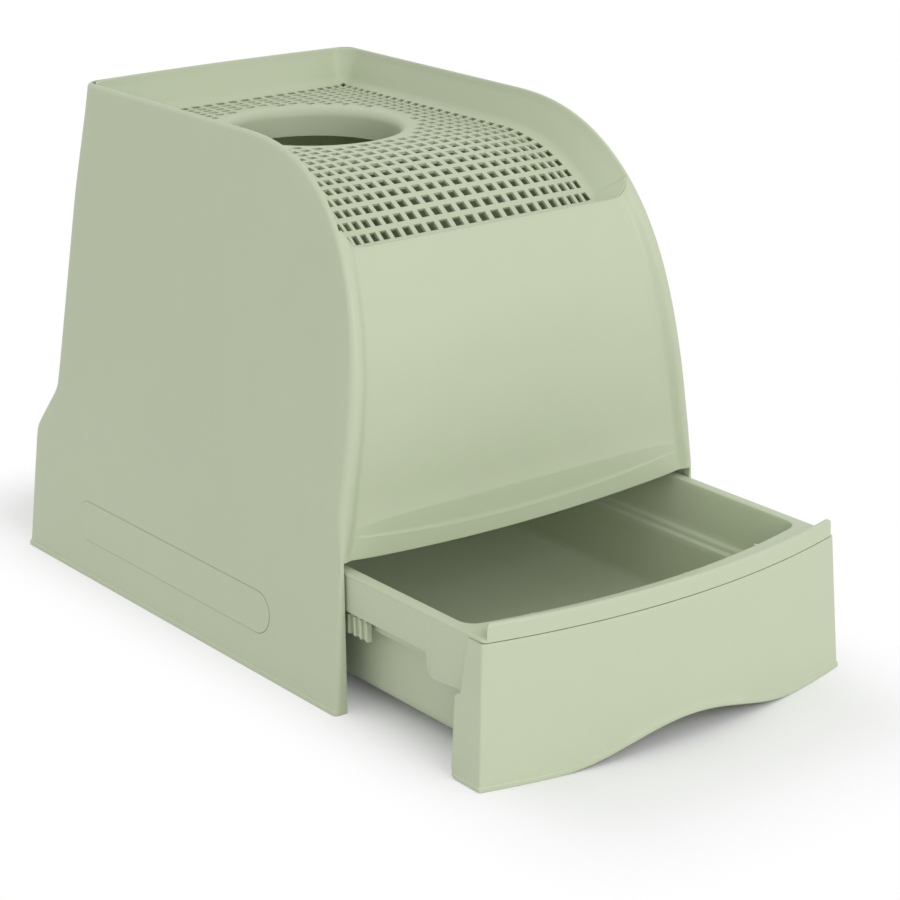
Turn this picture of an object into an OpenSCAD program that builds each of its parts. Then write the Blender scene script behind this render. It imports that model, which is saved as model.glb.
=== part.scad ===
// Drawer litter box: a top-entry hood with a perforated lift-out deck, standing over a pull-out
// drawer made of a stepped litter pan and a bowed front panel. Millimetres, +Z up, front towards -Y.
// The drawer is drawn pulled out to its stop. The origin is the centre of the footprint, on the floor.

/* [Hood] */
// Height of the hood from the floor to the top of its rim
body_h = 440; // [420:1:480]
// Width of the hood at the floor
base_w = 395; // [360:1:430]
// How far each side leans in from the floor to the top of the skirt
skirt_in = 8.5; // [6:0.5:10]
// How far each side leans in over the sloping band above the skirt
waist_in = 3.5; // [2:0.5:6]
// How far each side leans in from there to the rim
rim_in = 41.5; // [34:0.5:44]
// Height at which the skirt ends and the sloping band starts
skirt_z = 118; // [112:1:124]
// Height at which the sloping band ends
waist_z = 164; // [158:1:176]
// Depth of the hood at the floor, front edge to back face
base_d = 496; // [480:1:540]
// How far the back leans in from the floor to the top of the skirt
skirt_back_in = 10; // [6:0.5:14]
// How far the back leans in over the sloping band
waist_back_in = 40; // [30:1:50]
// How far the front edge leans back between the floor and the waist
front_lean = 3; // [1:0.5:5]
// Height at which the side's front edge starts to curve back
curve_z = 184; // [176:1:210]
// Run of that curve, from the front edge back to the flat top
curve_run = 193; // [180:1:210]
// Squareness of that curve: 2 is an ellipse, more is squarer
curve_power = 2.55; // [2:0.05:3]
// Wall thickness of the hood
wall = 3; // [2.6:0.1:3.4]
// Plan radius of the hood's back corners
back_r = 12; // [6:1:16]
// How far the thick front edges narrow the mouth on each side, from the top of the skirt
jamb_w = 3; // [2.5:0.1:4]
// Depth of those thick front edges
jamb_d = 12; // [8:1:16]
// Height of those thick front edges
jamb_h = 105; // [90:1:110]

/* [Visor] */
// Height of the lower edge of the front wall at its ends
visor_z = 129; // [127:1:134]
// How much lower that edge is in the middle
visor_dip = 8.5; // [0:0.5:10]
// Height of the visor's upper edge, straight but for its ends
visor_top_z = 156.5; // [150:0.5:166]
// Height at which the visor's two steps meet at its ends
visor_end_z = 148; // [142:1:149]
// Height of the second step in the middle
visor_mid_z = 134; // [130:1:140]
// Distance from the visor's ends to the outside of the hood
visor_end_in = 22; // [16:1:40]
// How far each of the visor's two steps stands out
visor_step = 1.2; // [0.6:0.1:2]

/* [Deck] */
// Drop from the rim to the deck's flat
deck_drop = 33.5; // [26:0.5:45]
// Radius in which the deck bends down towards the front
deck_r = 187; // [178:1:190]
// Distance from the front edge of the hood to that bend, if it ran on down
bend_in = 5.5; // [4:0.5:8]
// Setback of the front wall behind the front edge of the sides
front_setback = 5; // [3:0.5:8]
// Distance from the foot of each of the deck's side walls to the outside of the rim
deck_side = 14; // [12:0.5:17]
// Distance from the foot of the deck's back wall to the back of the hood
deck_back = 13; // [11:0.5:15]
// Thickness of the deck
deck_t = 2.5; // [2:0.1:3]
// Gap between the deck and the hood all round
deck_gap = 0.5; // [0.3:0.1:0.8]
// Angle down the bend at which the deck ends and the front wall starts
seam_angle = 44.3; // [42:0.1:46]
// Distance by which the hood's ledge reaches in under the foot of the deck's walls
ledge_reach = 2; // [1:0.5:2.5]
// Length of the ledge under the front edge of the deck
ledge_front = 5; // [3:0.5:6]

/* [Deck holes] */
// Number of holes across the deck
hole_cols = 23; // [15:2:25]
// Number of rows of holes, back to front
hole_rows = 31; // [21:2:33]
// Distance from the outermost columns to the foot of the side walls
hole_side = 5.5; // [5.5:0.5:20]
// Angle that narrows the spacing towards the sides: more is narrower
hole_crowding = 58; // [20:1:60]
// Distance from the back row to the back face of the hood
back_row_y = 20; // [20:1:34]
// Distance along the deck from the front row to the seam
front_row_gap = 18.5; // [14:0.5:22]
// Spacing of the rows at the back
row_pitch_back = 9.2; // [9:0.1:10]
// Share of the spacing that a hole takes
hole_share = 0.6; // [0.4:0.01:0.62]
// Unpierced band around the entry collar
collar_band = 3; // [2:0.5:8]

/* [Entry collar] */
// Diameter of the entry at the throat of its collar
entry_d = 154; // [130:1:170]
// Distance from the centre of the entry to the back of the hood's rim
entry_back = 147; // [130:1:156]
// Radius of the collar's rolled edge
collar_r = 9; // [5:0.5:12]
// Depth of the collar below the deck's top
collar_h = 32; // [20:1:40]

/* [Drawer front] */
// How far the drawer stands pulled out, at its stop
drawer_open = 142; // [120:1:150]
// Gap between the closed drawer front and the hood
closed_gap = 0.5; // [0.3:0.1:2]
// Gap at each side between the top of the drawer front and the mouth
front_gap = 1; // [0.5:0.5:3]
// How far each end of the drawer front leans in from the floor to its top
front_in = 7; // [3:0.5:8]
// Distance from the top of the drawer front up to the pan's flange
front_drop = 1.1; // [0.6:0.1:3]
// How far the middle of the drawer front bows out
front_bow = 25; // [15:1:32]
// How far the drawer front's foot stands out from its top
front_flare = 5; // [2:0.5:9]
// Wall thickness of the drawer front
front_t = 3; // [2:0.1:4]
// Depth of the drawer front's side returns, below the notch
return_d = 29; // [26:0.5:34]
// Depth of the side returns at their top
return_top_d = 12; // [10:0.5:16]
// Height of the notch in the back edge of the side returns
return_notch_z = 77; // [70:1:84]
// Depth of that notch
return_notch_d = 9.5; // [8:0.5:11]
// Bevel of the corner below that notch
return_bevel = 4; // [1:0.5:6]
// Height of the arch in the bottom edge of the drawer front
arch_h = 20; // [8:1:30]
// Distance from the ends of the drawer front to that arch
arch_end = 60; // [40:1:90]
// Diameter of the screw posts behind the drawer front
post_d = 9; // [7:0.5:12]
// Height of the screw posts
post_z = 98; // [94:1:102]
// Distance from the ends of the drawer front to the outer screw posts
post_end = 55; // [45:1:65]
// Number of screw posts
posts = 4; // [2:1:5]

/* [Pan] */
// Height of the underside of the pan's floor
pan_z = 15; // [10:0.5:18]
// Height of the pan's rim
pan_rim_z = 121; // [120:0.5:123]
// Gap at each side between the pan's rim and the mouth
rim_gap = 2.5; // [2:0.1:3.5]
// Height of the skirt's lower edge
pan_skirt_z = 86; // [84:1:92]
// Width of the pan's rim, outside the pan's upper part
rim_w = 11; // [10.8:0.1:12.5]
// Width of the pan's step
step_w = 10.5; // [8.5:0.5:14]
// Height of the underside of the step
pan_step_z = 75; // [70:1:78]
// Wall thickness of the pan
pan_wall = 2.4; // [2:0.1:2.6]
// Gap between the pan's rim and the back of the hood when the drawer is closed
pan_back_gap = 8; // [4:0.5:20]
// Plan radius of the pan's corners
pan_r = 18; // [12:1:24]
// Width of the flange in front of the pan
flange_w = 37; // [34:1:42]
// Height of the raised lip above the pan's rim
lip_h = 12; // [6:0.5:16]
// Thickness of the lip
lip_t = 4; // [2.5:0.5:6]
// Length of the deeper part of the skirt behind the drawer front
ear_l = 33; // [24:1:40]
// Height of its lower edge
ear_z = 77; // [72:1:82]
// Width of the brackets that hold the drawer front
bracket_w = 26; // [20:1:34]
// Height of the rails on the pan's sides
rail_h = 4; // [3:0.5:5]
// Width of those rails
rail_w = 16; // [12:0.5:18]

/* [Runners] */
// Distance from the back end of each side plate and runner to the back of the hood's foot
runner_back = 91; // [80:1:120]
// Distance from the front edge of the hood to the front end of the runner
runner_y = 98; // [90:1:110]
// Height of the middle of the side plate
plate_z = 53; // [51:0.5:55]
// Height of the side plate
plate_h = 36; // [30:1:40]
// Thickness of the side plate
plate_t = 2; // [1.8:0.1:2.4]
// How far the side plate stands proud of the hood
plate_proud = 0.6; // [0.3:0.1:0.8]
// Gap round the side plate in its recess
plate_gap = 0.4; // [0.2:0.1:0.6]
// Thickness of the runner's shelf and web
runner_t = 3; // [2.5:0.1:3.5]
// Clearance between the shelf and the pan's rail
runner_gap = 0.4; // [0.3:0.1:1]
// Height of the shelf's top above the middle of the side plate
shelf_rise = 7; // [6:0.5:8]
// Height of the runner's web
web_h = 20; // [18:1:24]
// Width of the shelf, from the inside of the hood's wall
shelf_w = 22; // [18:0.5:24]

/* [Screws] */
// Number of screws through each runner
runner_screw_count = 3; // [2:1:5]
// Diameter of the screws
screw_d = 4; // [3:0.5:4.5]
// Diameter of the screw heads
screw_head_d = 7; // [6:0.5:8]
// Height of the screw heads
screw_head_h = 2.2; // [1.5:0.1:3]
// Size of the socket in a screw's head, as a share of the screw's diameter
screw_drive = 0.6; // [0.4:0.05:0.8]
// Radial gap of a screw in a clearance hole
screw_gap = 0.2; // [0.1:0.05:0.4]
// Diameter of the screw bosses on the side plates
boss_d = 9; // [7:0.5:10]
// How far the screws of the runners reach into the side plates
skin_in = 0.4; // [0.2:0.1:0.8]
// Length of the screws that hold the drawer front
front_screw_l = 12; // [8:0.5:14]

/* [Latches] */
// Length of the finger grip of each latch tab
grip_l = 26; // [20:1:30]
// Height of the lower end of each latch tab
tab_z = 67; // [66:0.5:70]
// Height of the root about which the tab bends
tab_root_z = 100; // [96:1:104]
// Number of ribs on the finger grip
grip_ribs = 4; // [3:1:6]
// How far the ribs stand out
rib_t = 4; // [3:0.25:4.5]
// Thickness of the ribs
rib_w = 2.4; // [1.6:0.1:3]
// Thickness of the latch tab
tab_t = 2.2; // [1.8:0.1:2.4]
// Gap between the latch tab and the inside of the skirt
tab_gap = 2.6; // [2.2:0.1:2.8]
// How far the tooth engages behind the hood's front edge
tooth_bite = 2.4; // [1.6:0.1:2.6]
// Distance from the grip to the tooth
tooth_after = 2; // [1:0.5:4]
// Distance from the ribs up to the skirt's lower edge
rib_drop = 2; // [1.5:0.5:4]
// Length of the tooth along the drawer
tooth_l = 6; // [4:0.5:8]
// Height of the tooth
tooth_h = 10; // [8:0.5:10.5]
// Gap between the tooth and the hood's front edge when the drawer is at its stop
stop_gap = 0.4; // [0.2:0.1:0.8]
// Gap between the latch tab and its root
root_gap = 0.4; // [0.3:0.1:0.6]

/* [Hidden] */

cut = 1; // how far a cutting shape runs past what it cuts
far = 900; // further than any point of the model
curve_steps = 24; // steps along the rim's front curve
bend_steps = 20; // steps along the deck's bend
dish_steps = 16; // stations along the dish's curved part
edge_steps = 32; // steps across the visor's edges
arch_steps = 24; // steps along the arch in the drawer front
corner_steps = 6; // steps round each back corner of the hood
round_fn = 48; // sides of a round corner
wide_fn = 360; // sides of the circles that the drawer's bow follows

sage = [0.70, 0.74, 0.64];
sage_dark = [0.63, 0.67, 0.57];
steel = [0.72, 0.72, 0.70];

// widths and depths of the hood
skirt_w = base_w - 2 * skirt_in;
waist_w = skirt_w - 2 * waist_in;
top_w = waist_w - 2 * rim_in;
skirt_d = base_d - skirt_back_in;
waist_d = skirt_d - waist_back_in;
mouth_w = skirt_w - 2 * jamb_w;
entry_y = waist_d - entry_back;
runner_l = base_d - runner_back - runner_y;

// widths of the deck and of the drawer
deck_w = top_w - 2 * deck_side;
hole_span = deck_w - 2 * hole_side;
front_w = mouth_w - 2 * front_gap;
front_base_w = front_w + 2 * front_in;
arch_w = front_w - 2 * arch_end;
post_span = front_w - 2 * post_end;
pan_rim_w = mouth_w - 2 * rim_gap;
pan_w = pan_rim_w - 2 * rim_w;
pan_low_w = pan_w - 2 * step_w;

// the drawer front's top edge, seen from above
front_h = pan_rim_z - pan_wall - front_drop;
front_corner_y = -(drawer_open + closed_gap + return_d);
bow_r = (pow(front_w / 2, 2) + pow(front_bow, 2)) / (2 * front_bow);
bow_centre_y = front_corner_y - front_bow + bow_r;
return_back_y = front_corner_y + return_d;
object_front_y = front_corner_y - front_bow - front_flare;
origin_y = (base_d + object_front_y) / 2;

// the side wall below the skirt's top leans in by this angle
draft = atan(skirt_in / skirt_z);

// the deck's bend turns about this point
deck_z = body_h - deck_drop;
bend_y = deck_r + bend_in;
bend_z = deck_z - deck_r;
flat_y = front_lean + curve_run;
ledge_r = deck_r - deck_t - deck_gap;

// half the width of the hood, and its back, at a height
function half_w(z) = z < skirt_z ? (base_w + (skirt_w - base_w) * z / skirt_z) / 2
    : z < waist_z ? (skirt_w + (waist_w - skirt_w) * (z - skirt_z) / (waist_z - skirt_z)) / 2
    : (waist_w + (top_w - waist_w) * (z - waist_z) / (body_h - waist_z)) / 2;
function back_y(z) = z < skirt_z ? base_d + (skirt_d - base_d) * z / skirt_z
    : z < waist_z ? skirt_d + (waist_d - skirt_d) * (z - skirt_z) / (waist_z - skirt_z)
    : waist_d;

// the rim's front curve, by its parameter: 0 at the front edge, 90 at the flat top
function rim_y(t) = front_lean + curve_run * (1 - pow(cos(t), 2 / curve_power));
function rim_z(t) = curve_z + (body_h - curve_z) * pow(sin(t), 2 / curve_power);
// the same curve drawn in by an inset
function rim_normal(t) = let (q = 2 - 2 / curve_power, a = pow(cos(t), q) / curve_run,
    b = pow(sin(t), q) / (body_h - curve_z)) [-a, b] / norm([a, b]);
function rim_in_at(t, inset) = [rim_y(t), rim_z(t)] - inset * rim_normal(t);
// its angle about the bend's centre, and the parameter that lies at an angle
function rim_angle(t, inset = 0) = let (p = rim_in_at(t, inset)) atan2(bend_y - p[0], p[1] - bend_z);
function rim_at(angle, inset = 0, lo = 5, hi = 89, n = 16) = n == 0 ? (lo + hi) / 2
    : rim_angle((lo + hi) / 2, inset) > angle ? rim_at(angle, inset, (lo + hi) / 2, hi, n - 1)
    : rim_at(angle, inset, lo, (lo + hi) / 2, n - 1);

function bend_at(r, angle) = [bend_y - r * sin(angle), bend_z + r * cos(angle)];
function bend_arc(r, from, to, steps) =
    [for (k = [0:steps]) bend_at(r, from + (to - from) * k / steps)];
// y of the drawer front's top edge at an x
function bow_y(x) = bow_centre_y - sqrt(pow(bow_r, 2) - pow(x, 2));

// a profile drawn in the y-z plane, run across the hood
module across(w) {
    rotate([90, 0, 90]) linear_extrude(height = w, center = true) children();
}

// the hood's outline seen from the side
module side_profile() {
    polygon(concat([[0, 0]], [for (k = [0:curve_steps]) rim_in_at(90 * k / curve_steps, 0)],
        [[base_d + cut, body_h], [base_d + cut, 0]]));
}

// the front of that outline drawn in by an inset, from the floor up to a parameter of its curve
function front_line(inset, t) =
    concat([[inset, 0]], [for (k = [0:curve_steps]) rim_in_at(t * k / curve_steps, inset)]);

// a solid through rings of points: every ring runs anticlockwise as seen from the last one
module skin(rings) {
    n = len(rings[0]);
    last = n * (len(rings) - 1);
    polyhedron([for (ring = rings, p = ring) p], concat(
        [for (a = [0:n:last - n], e = [0:n - 1]) let (p = a + e, q = a + (e + 1) % n)
            each [[p, q + n, q], [p, p + n, q + n]]],
        [[for (e = [0:n - 1]) e]], [[for (e = [n - 1:-1:0]) last + e]]));
}

// plan of the hood at a height, drawn in by an inset; it runs well past the front
function storey(z, inset) =
    let (w = half_w(z) - inset, d = back_y(z) - inset, r = back_r - inset, step = 90 / corner_steps)
    concat([[w, -cut, z]], [for (a = [0:step:90]) [w - r + r * cos(a), d - r + r * sin(a), z]],
        [for (a = [90:step:180]) [-w + r + r * cos(a), d - r + r * sin(a), z]], [[-w, -cut, z]]);

module form(inset) {
    skin([for (z = [-cut, skirt_z, waist_z, body_h + cut]) storey(z, inset)]);
}

// heights of the visor's edges: u runs from -1 at one end to 1 at the other
function lower_z(u) = visor_z - visor_dip * (1 - pow(u, 2));
function upper_z(u) = visor_top_z - (visor_top_z - visor_end_z) * pow(u, 10);
function middle_z(u) = visor_mid_z + (visor_end_z - visor_mid_z) * pow(u, 2);

// everything across the hood above its mouth
module above_mouth() {
    half = half_w(visor_z);
    rotate([90, 0, 0]) linear_extrude(height = far, center = true)
        polygon(concat([for (k = [0:edge_steps]) let (u = 2 * k / edge_steps - 1) [half * u, lower_z(u)]],
            [[half, visor_z], [base_w, visor_z], [base_w, far], [-base_w, far], [-base_w, visor_z]]));
}

// one of the visor's steps: a plate on the front wall, under an upper edge
module visor_plate(edge, out) {
    half = half_w(visor_z) - visor_end_in;
    face = front_setback + front_lean * visor_top_z / curve_z;
    translate([0, face + wall / 2, 0]) rotate([90, 0, 0]) linear_extrude(height = out + wall / 2)
        polygon(concat([for (k = [0:edge_steps]) let (u = 2 * k / edge_steps - 1) [half * u, edge[k]]],
            [[half, visor_z - visor_dip - cut], [-half, visor_z - visor_dip - cut]]));
}

// plan of the hood's rim opening at the top, as wide as the rim lets it lift out
module deck_plan(gap) {
    first = rim_at(seam_angle) / 2;
    pts = [for (k = [0:curve_steps]) let (t = first + (90 - first) * k / curve_steps)
        [half_w(rim_z(t)) - wall - gap, rim_y(t)]];
    back = waist_d - wall - gap;
    w = half_w(body_h) - wall - gap;
    r = back_r - wall;
    step = 90 / corner_steps;
    polygon(concat(pts, [for (a = [0:step:90]) [w - r + r * cos(a), back - r + r * sin(a)]],
        [for (a = [90:step:180]) [-w + r + r * cos(a), back - r + r * sin(a)]],
        [for (k = [curve_steps:-1:0]) [-pts[k][0], pts[k][1]]]));
}

// the strip between two depths below the deck's surface, from an angle on the bend to the back
module deck_strip(top, under, angle) {
    polygon(concat(bend_arc(deck_r - top, angle, 0, bend_steps),
        [[base_d, deck_z - top], [base_d, deck_z - under]],
        bend_arc(deck_r - under, 0, angle, bend_steps)));
}

// everything in front of the seam, which is a plane through the bend's centre
module before_seam() {
    polygon([[bend_y, bend_z], bend_at(far, seam_angle), bend_at(far, 90 + seam_angle), [bend_y, 0]]);
}

// the front wall's section: it follows the sides' front edge, turns in at the seam as a web that
// stands in front of the deck, and ends in the ledge under the deck
module front_section() {
    top_t = rim_at(seam_angle - 2, front_setback);
    intersection() {
        polygon(concat(front_line(front_setback, top_t), [for (k = [curve_steps:-1:0])
            rim_in_at(top_t * k / curve_steps, front_setback + wall)], [[front_setback + wall, 0]]));
        before_seam();
    }
    web_top = norm(rim_in_at(rim_at(seam_angle, front_setback), front_setback) - [bend_y, bend_z]);
    along = wall * [-cos(seam_angle), -sin(seam_angle)];
    low = bend_at(ledge_r - wall, seam_angle);
    high = bend_at(web_top - wall / 2, seam_angle);
    polygon([low, high, high + along, low + along]);
    deck_strip(deck_t + deck_gap, deck_t + deck_gap + wall, seam_angle);
}

// the side and back walls between two heights
module walls(from, to) {
    intersection() {
        across(base_w + 2 * cut) side_profile();
        difference() {
            form(0);
            form(wall);
        }
        translate([-base_w, -cut, from]) cube([2 * base_w, base_d + 2 * cut, to - from]);
    }
}

module hood_shell() {
    color(sage) translate([0, -origin_y, 0]) {
        walls(skirt_z, body_h);
        // front wall, and the ledge under the deck
        intersection() {
            across(base_w + 2 * cut) front_section();
            above_mouth();
            difference() {
                form(wall / 2);
                ledge_half = deck_w / 2 - ledge_reach;
                ledge_y = bend_y - deck_r * sin(seam_angle) + ledge_front;
                translate([-ledge_half, ledge_y, bend_z])
                    cube([2 * ledge_half, waist_d - deck_back - ledge_reach - ledge_y, body_h]);
            }
        }
        // visor, in two steps
        intersection() {
            union() {
                us = [for (k = [0:edge_steps]) 2 * k / edge_steps - 1];
                visor_plate([for (u = us) upper_z(u)], visor_step);
                visor_plate([for (u = us) middle_z(u)], 2 * visor_step);
            }
            above_mouth();
        }
    }
}

// the lower band of the side and back walls, moulded in one with the hood
module hood_skirt() {
    color(sage) translate([0, -origin_y, 0]) difference() {
        walls(0, skirt_z);
        for (s = [-1, 1]) on_side(s) {
            // recess for the side plate
            translate([-(plate_t - plate_proud), 0, 0]) rotate([0, 90, 0])
                linear_extrude(height = plate_t) stadium(plate_gap);
            // holes for the plate's bosses
            at_screws() translate([-wall - cut, 0, 0]) rotate([0, 90, 0])
                cylinder(d = boss_d + 2 * plate_gap, h = wall + 2 * cut);
        }
        for (s = [-1, 1]) jamb_block(s);
    }
}

// the space of one side's front edge, beside the mouth
module jamb_block(s) {
    translate([s > 0 ? mouth_w / 2 : -base_w, -cut, -cut])
        cube([base_w - mouth_w / 2, jamb_d + cut, jamb_h + cut]);
}

// the thick front edge of one side, moulded in one with the hood: a latch tooth stops behind it
module jamb(s) {
    color(sage) translate([0, -origin_y, 0]) intersection() {
        across(base_w + 2 * cut) side_profile();
        form(0);
        jamb_block(s);
    }
}

// the frame of one side wall: x points out of the wall, the origin is in the plate's middle
module on_side(s) {
    translate([s * (base_w / 2 - plate_z * tan(draft)), runner_y + runner_l / 2, plate_z])
        mirror([s < 0 ? 1 : 0, 0, 0]) rotate([0, -draft, 0]) children();
}

// outline of a side plate, drawn to be stood up against the wall
module stadium(gap) {
    r = plate_h / 2 + gap;
    run = runner_l / 2 - plate_h / 2;
    square([2 * r, 2 * run], center = true);
    for (e = [-1, 1]) translate([0, e * run]) circle(r, $fn = 64);
}

// the screws sit in the middle of the runner's web, which hangs under its shelf
screw_drop = web_h / 2 - shelf_rise + runner_t / 2;
// thickness of side plate left over the end of a screw
plate_skin = plate_t - plate_proud - skin_in;

module at_screws() {
    span = runner_l - plate_h;
    for (k = [0:runner_screw_count - 1])
        translate([0, -span / 2 + span * k / (runner_screw_count - 1), -screw_drop]) children();
}

module side_plate(s) {
    color(sage_dark) translate([0, -origin_y, 0]) on_side(s) difference() {
        union() {
            translate([plate_proud - plate_t, 0, 0]) rotate([0, 90, 0])
                linear_extrude(height = plate_t) stadium(0);
            at_screws() translate([-wall, 0, 0]) rotate([0, 90, 0])
                cylinder(d = boss_d, h = wall);
        }
        at_screws() translate([-wall - cut, 0, 0]) rotate([0, 90, 0])
            cylinder(d = screw_d, h = cut + wall - plate_skin);
    }
}
module runner(s) {
    color(sage_dark) translate([0, -origin_y, 0]) difference() {
        union() {
            on_side(s) translate([-wall - runner_t, -runner_l / 2, shelf_rise - web_h])
                cube([runner_t, runner_l, web_h]);
            shelf_out = half_w(plate_z + shelf_rise) - wall - runner_t / 2;
            translate([s > 0 ? shelf_out - shelf_w : -shelf_out, runner_y, plate_z + shelf_rise - runner_t])
                cube([shelf_w, runner_l, runner_t]);
        }
        on_side(s) at_screws() translate([-wall - runner_t - cut, 0, 0]) rotate([0, 90, 0])
            cylinder(d = screw_d + 2 * screw_gap, h = runner_t + 2 * cut);
    }
}

// a screw along z: the head's seat is at the origin and the shank runs up
module screw(l) {
    cylinder(d = screw_d, h = l);
    translate([0, 0, -screw_head_h]) difference() {
        cylinder(d = screw_head_d, h = screw_head_h);
        translate([0, 0, -cut]) cylinder(d = screw_drive * screw_d, h = cut + screw_drive * screw_head_h,
            $fn = 6);
    }
}

module runner_screws() {
    l = wall + runner_t - plate_skin;
    color(steel) translate([0, -origin_y, 0]) for (s = [-1, 1]) on_side(s)
        at_screws() translate([-wall - runner_t, 0, 0]) rotate([0, 90, 0]) screw(l);
}

// ---- deck ----

// the gap at the seam and the deck's front wall, as angles at the seam's outer end
seam_play = deck_gap / deck_r * 180 / PI;
front_wall_angle = deck_t / deck_r * 180 / PI;
// where the dish's stations start: behind the deck's front wall
rise_t = rim_at(seam_angle - seam_play - front_wall_angle);
trim_t = rise_t + 6; // a little further along the rim than the deck's front wall
dish_over = 20; // how far the dish's cutting shape rises over the rim

// one station of the dish: foot and top of its side wall, at a point of the rim above it
function dish_station(p, foot) =
    let (reach = norm([p[0] - foot[0], p[1] - foot[1]]),
        rim_half = half_w(p[1]) - wall - deck_gap - deck_t,
        up = [(p[0] - foot[0]) / reach, (p[1] - foot[1]) / reach],
        top_half = deck_w / 2 + (rim_half - deck_w / 2) * (reach + dish_over) / reach)
    [[-deck_w / 2, foot[0], foot[1]], [deck_w / 2, foot[0], foot[1]],
        [top_half, p[0] + up[0] * dish_over, p[1] + up[1] * dish_over],
        [-top_half, p[0] + up[0] * dish_over, p[1] + up[1] * dish_over]];

// the hollow of the dish over the deck, its side walls sloping in from the rim to the deck
module dish() {
    back_top = waist_d - wall - deck_gap - deck_t;
    rows = concat(
        [for (k = [0:dish_steps]) let (t = rise_t + (90 - rise_t) * k / dish_steps, p = rim_in_at(t, 0))
            dish_station(p, bend_at(deck_r, rim_angle(t)))],
        [dish_station([back_top, body_h], [waist_d - deck_back, deck_z])]);
    skin([for (k = [len(rows) - 1:-1:0]) rows[k]]);
}

// distance along the deck, back row to front row
deck_run = waist_d - back_row_y - bend_y + seam_angle * PI / 180 * deck_r - front_row_gap;
flat_run = waist_d - back_row_y - bend_y;
even_run = row_pitch_back * (hole_rows - 1);
function row_s(k) = row_pitch_back * k + (deck_run - even_run) * pow(k / (hole_rows - 1), 2);
function row_size(k) = hole_share * (row_s(k + 0.5) - row_s(k - 0.5));
function col_x(u) = hole_span / 2 * sin(hole_crowding * u) / sin(hole_crowding);
function col_size(u) = hole_share * (col_x(u + 1 / (hole_cols - 1)) - col_x(u - 1 / (hole_cols - 1)));
clear_r = entry_d / 2 + collar_r + collar_band;

// holes through the flat of the deck, in plan
module flat_holes() {
    for (k = [0:hole_rows - 1]) if (row_s(k) <= flat_run)
        for (j = [0:hole_cols - 1]) {
            u = 2 * j / (hole_cols - 1) - 1;
            at = [col_x(u), waist_d - back_row_y - row_s(k)];
            if (norm([at[0], at[1] - entry_y]) > clear_r + row_size(k) / 2)
                translate(at) square([col_size(u), row_size(k)], center = true);
        }
}

// holes through the bend of the deck
module bend_holes() {
    for (k = [0:hole_rows - 1]) if (row_s(k) > flat_run) {
        angle = (row_s(k) - flat_run) / deck_r * 180 / PI;
        translate([0, bend_y, bend_z]) rotate([angle, 0, 0])
            for (j = [0:hole_cols - 1]) {
                u = 2 * j / (hole_cols - 1) - 1;
                translate([col_x(u), 0, deck_r - deck_t / 2])
                    cube([col_size(u), row_size(k), deck_t + 2 * cut], center = true);
            }
    }
}

module entry_deck() {
    color(sage) translate([0, -origin_y, 0]) {
        difference() {
            intersection() {
                difference() {
                    linear_extrude(height = body_h) deck_plan(deck_gap);
                    dish();
                }
                across(base_w) intersection() {
                    deck_strip(-body_h / 2, deck_t, seam_angle - seam_play);
                    side_profile();
                }
            }
            translate([0, 0, deck_z - deck_t - cut])
                linear_extrude(height = deck_t + 2 * cut) union() {
                    flat_holes();
                    translate([0, entry_y]) circle(d = entry_d + 2 * collar_r, $fn = 96);
                }
            bend_holes();
            // the front wall ends flush with the hood's front wall
            across(2 * (half_w(rim_z(rise_t)) - wall - deck_gap - deck_t)) difference() {
                side_profile();
                polygon(concat(front_line(front_setback, trim_t), [[far, body_h], [far, 0]]));
                translate([rim_y(trim_t), 0]) square(far);
            }
        }
        // collar
        translate([0, entry_y, deck_z]) rotate_extrude($fn = 96) {
            translate([entry_d / 2, -collar_h]) square([deck_t, collar_h - collar_r]);
            translate([entry_d / 2 + collar_r, -collar_r]) intersection() {
                difference() {
                    circle(collar_r, $fn = 48);
                    circle(collar_r - deck_t, $fn = 48);
                }
                translate([-collar_r, 0]) square(collar_r);
            }
        }
    }
}

// ---- pan ----

// the pan's rear at its rim, with the drawer at its stop
pan_back = back_y(pan_rim_z) - wall - pan_back_gap - drawer_open;

// plan of a pan of some width: its front follows the drawer front's bow, its corners are round
module pan_plan(w, ahead, back_in, r) {
    half = w / 2;
    big = bow_r - ahead;
    corner_y = bow_centre_y - sqrt(pow(big - r, 2) - pow(half - r, 2));
    touch_x = (half - r) * big / (big - r);
    rear = pan_back - back_in;
    translate([-half, corner_y]) square([w, rear - r - corner_y]);
    translate([-half + r, corner_y]) square([w - 2 * r, rear - corner_y]);
    intersection() {
        translate([0, bow_centre_y]) circle(big, $fn = wide_fn);
        translate([-touch_x, corner_y - bow_r]) square([2 * touch_x, bow_r]);
    }
    for (s = [-1, 1]) {
        translate([s * (half - r), corner_y]) circle(r, $fn = round_fn);
        translate([s * (half - r), rear - r]) circle(r, $fn = round_fn);
    }
}

lower_in = rim_w + step_w; // inset of the pan's lower part from its skirt
lip_seam = 0.4; // line between the lip and the drawer front
lip_z = front_h + lip_seam;
shelf_top = plate_z + shelf_rise;
// the rails run from behind the latches to the back of the pan, over the runners
rail_y = 30;
rail_l = pan_back - pan_r - lower_in - rail_y;

// plan of the flange, out to the lip's face
module flange_plan(from_y) {
    intersection() {
        translate([0, bow_centre_y]) circle(bow_r, $fn = wide_fn);
        translate([-front_w / 2, bow_centre_y - bow_r - cut])
            square([front_w, from_y - bow_centre_y + bow_r + cut]);
    }
}

// the pan's two parts, drawn in by an inset and standing on a floor
module pan_parts(inset) {
    ahead = flange_w - pan_wall + inset;
    r = pan_r - inset;
    translate([0, 0, pan_z + inset]) linear_extrude(height = pan_step_z + pan_wall - pan_z)
        pan_plan(pan_low_w - 2 * inset, ahead + step_w, lower_in + inset, r);
    translate([0, 0, pan_step_z + inset]) linear_extrude(height = pan_rim_z - pan_step_z)
        pan_plan(pan_w - 2 * inset, ahead, rim_w + inset, r);
}

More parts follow.
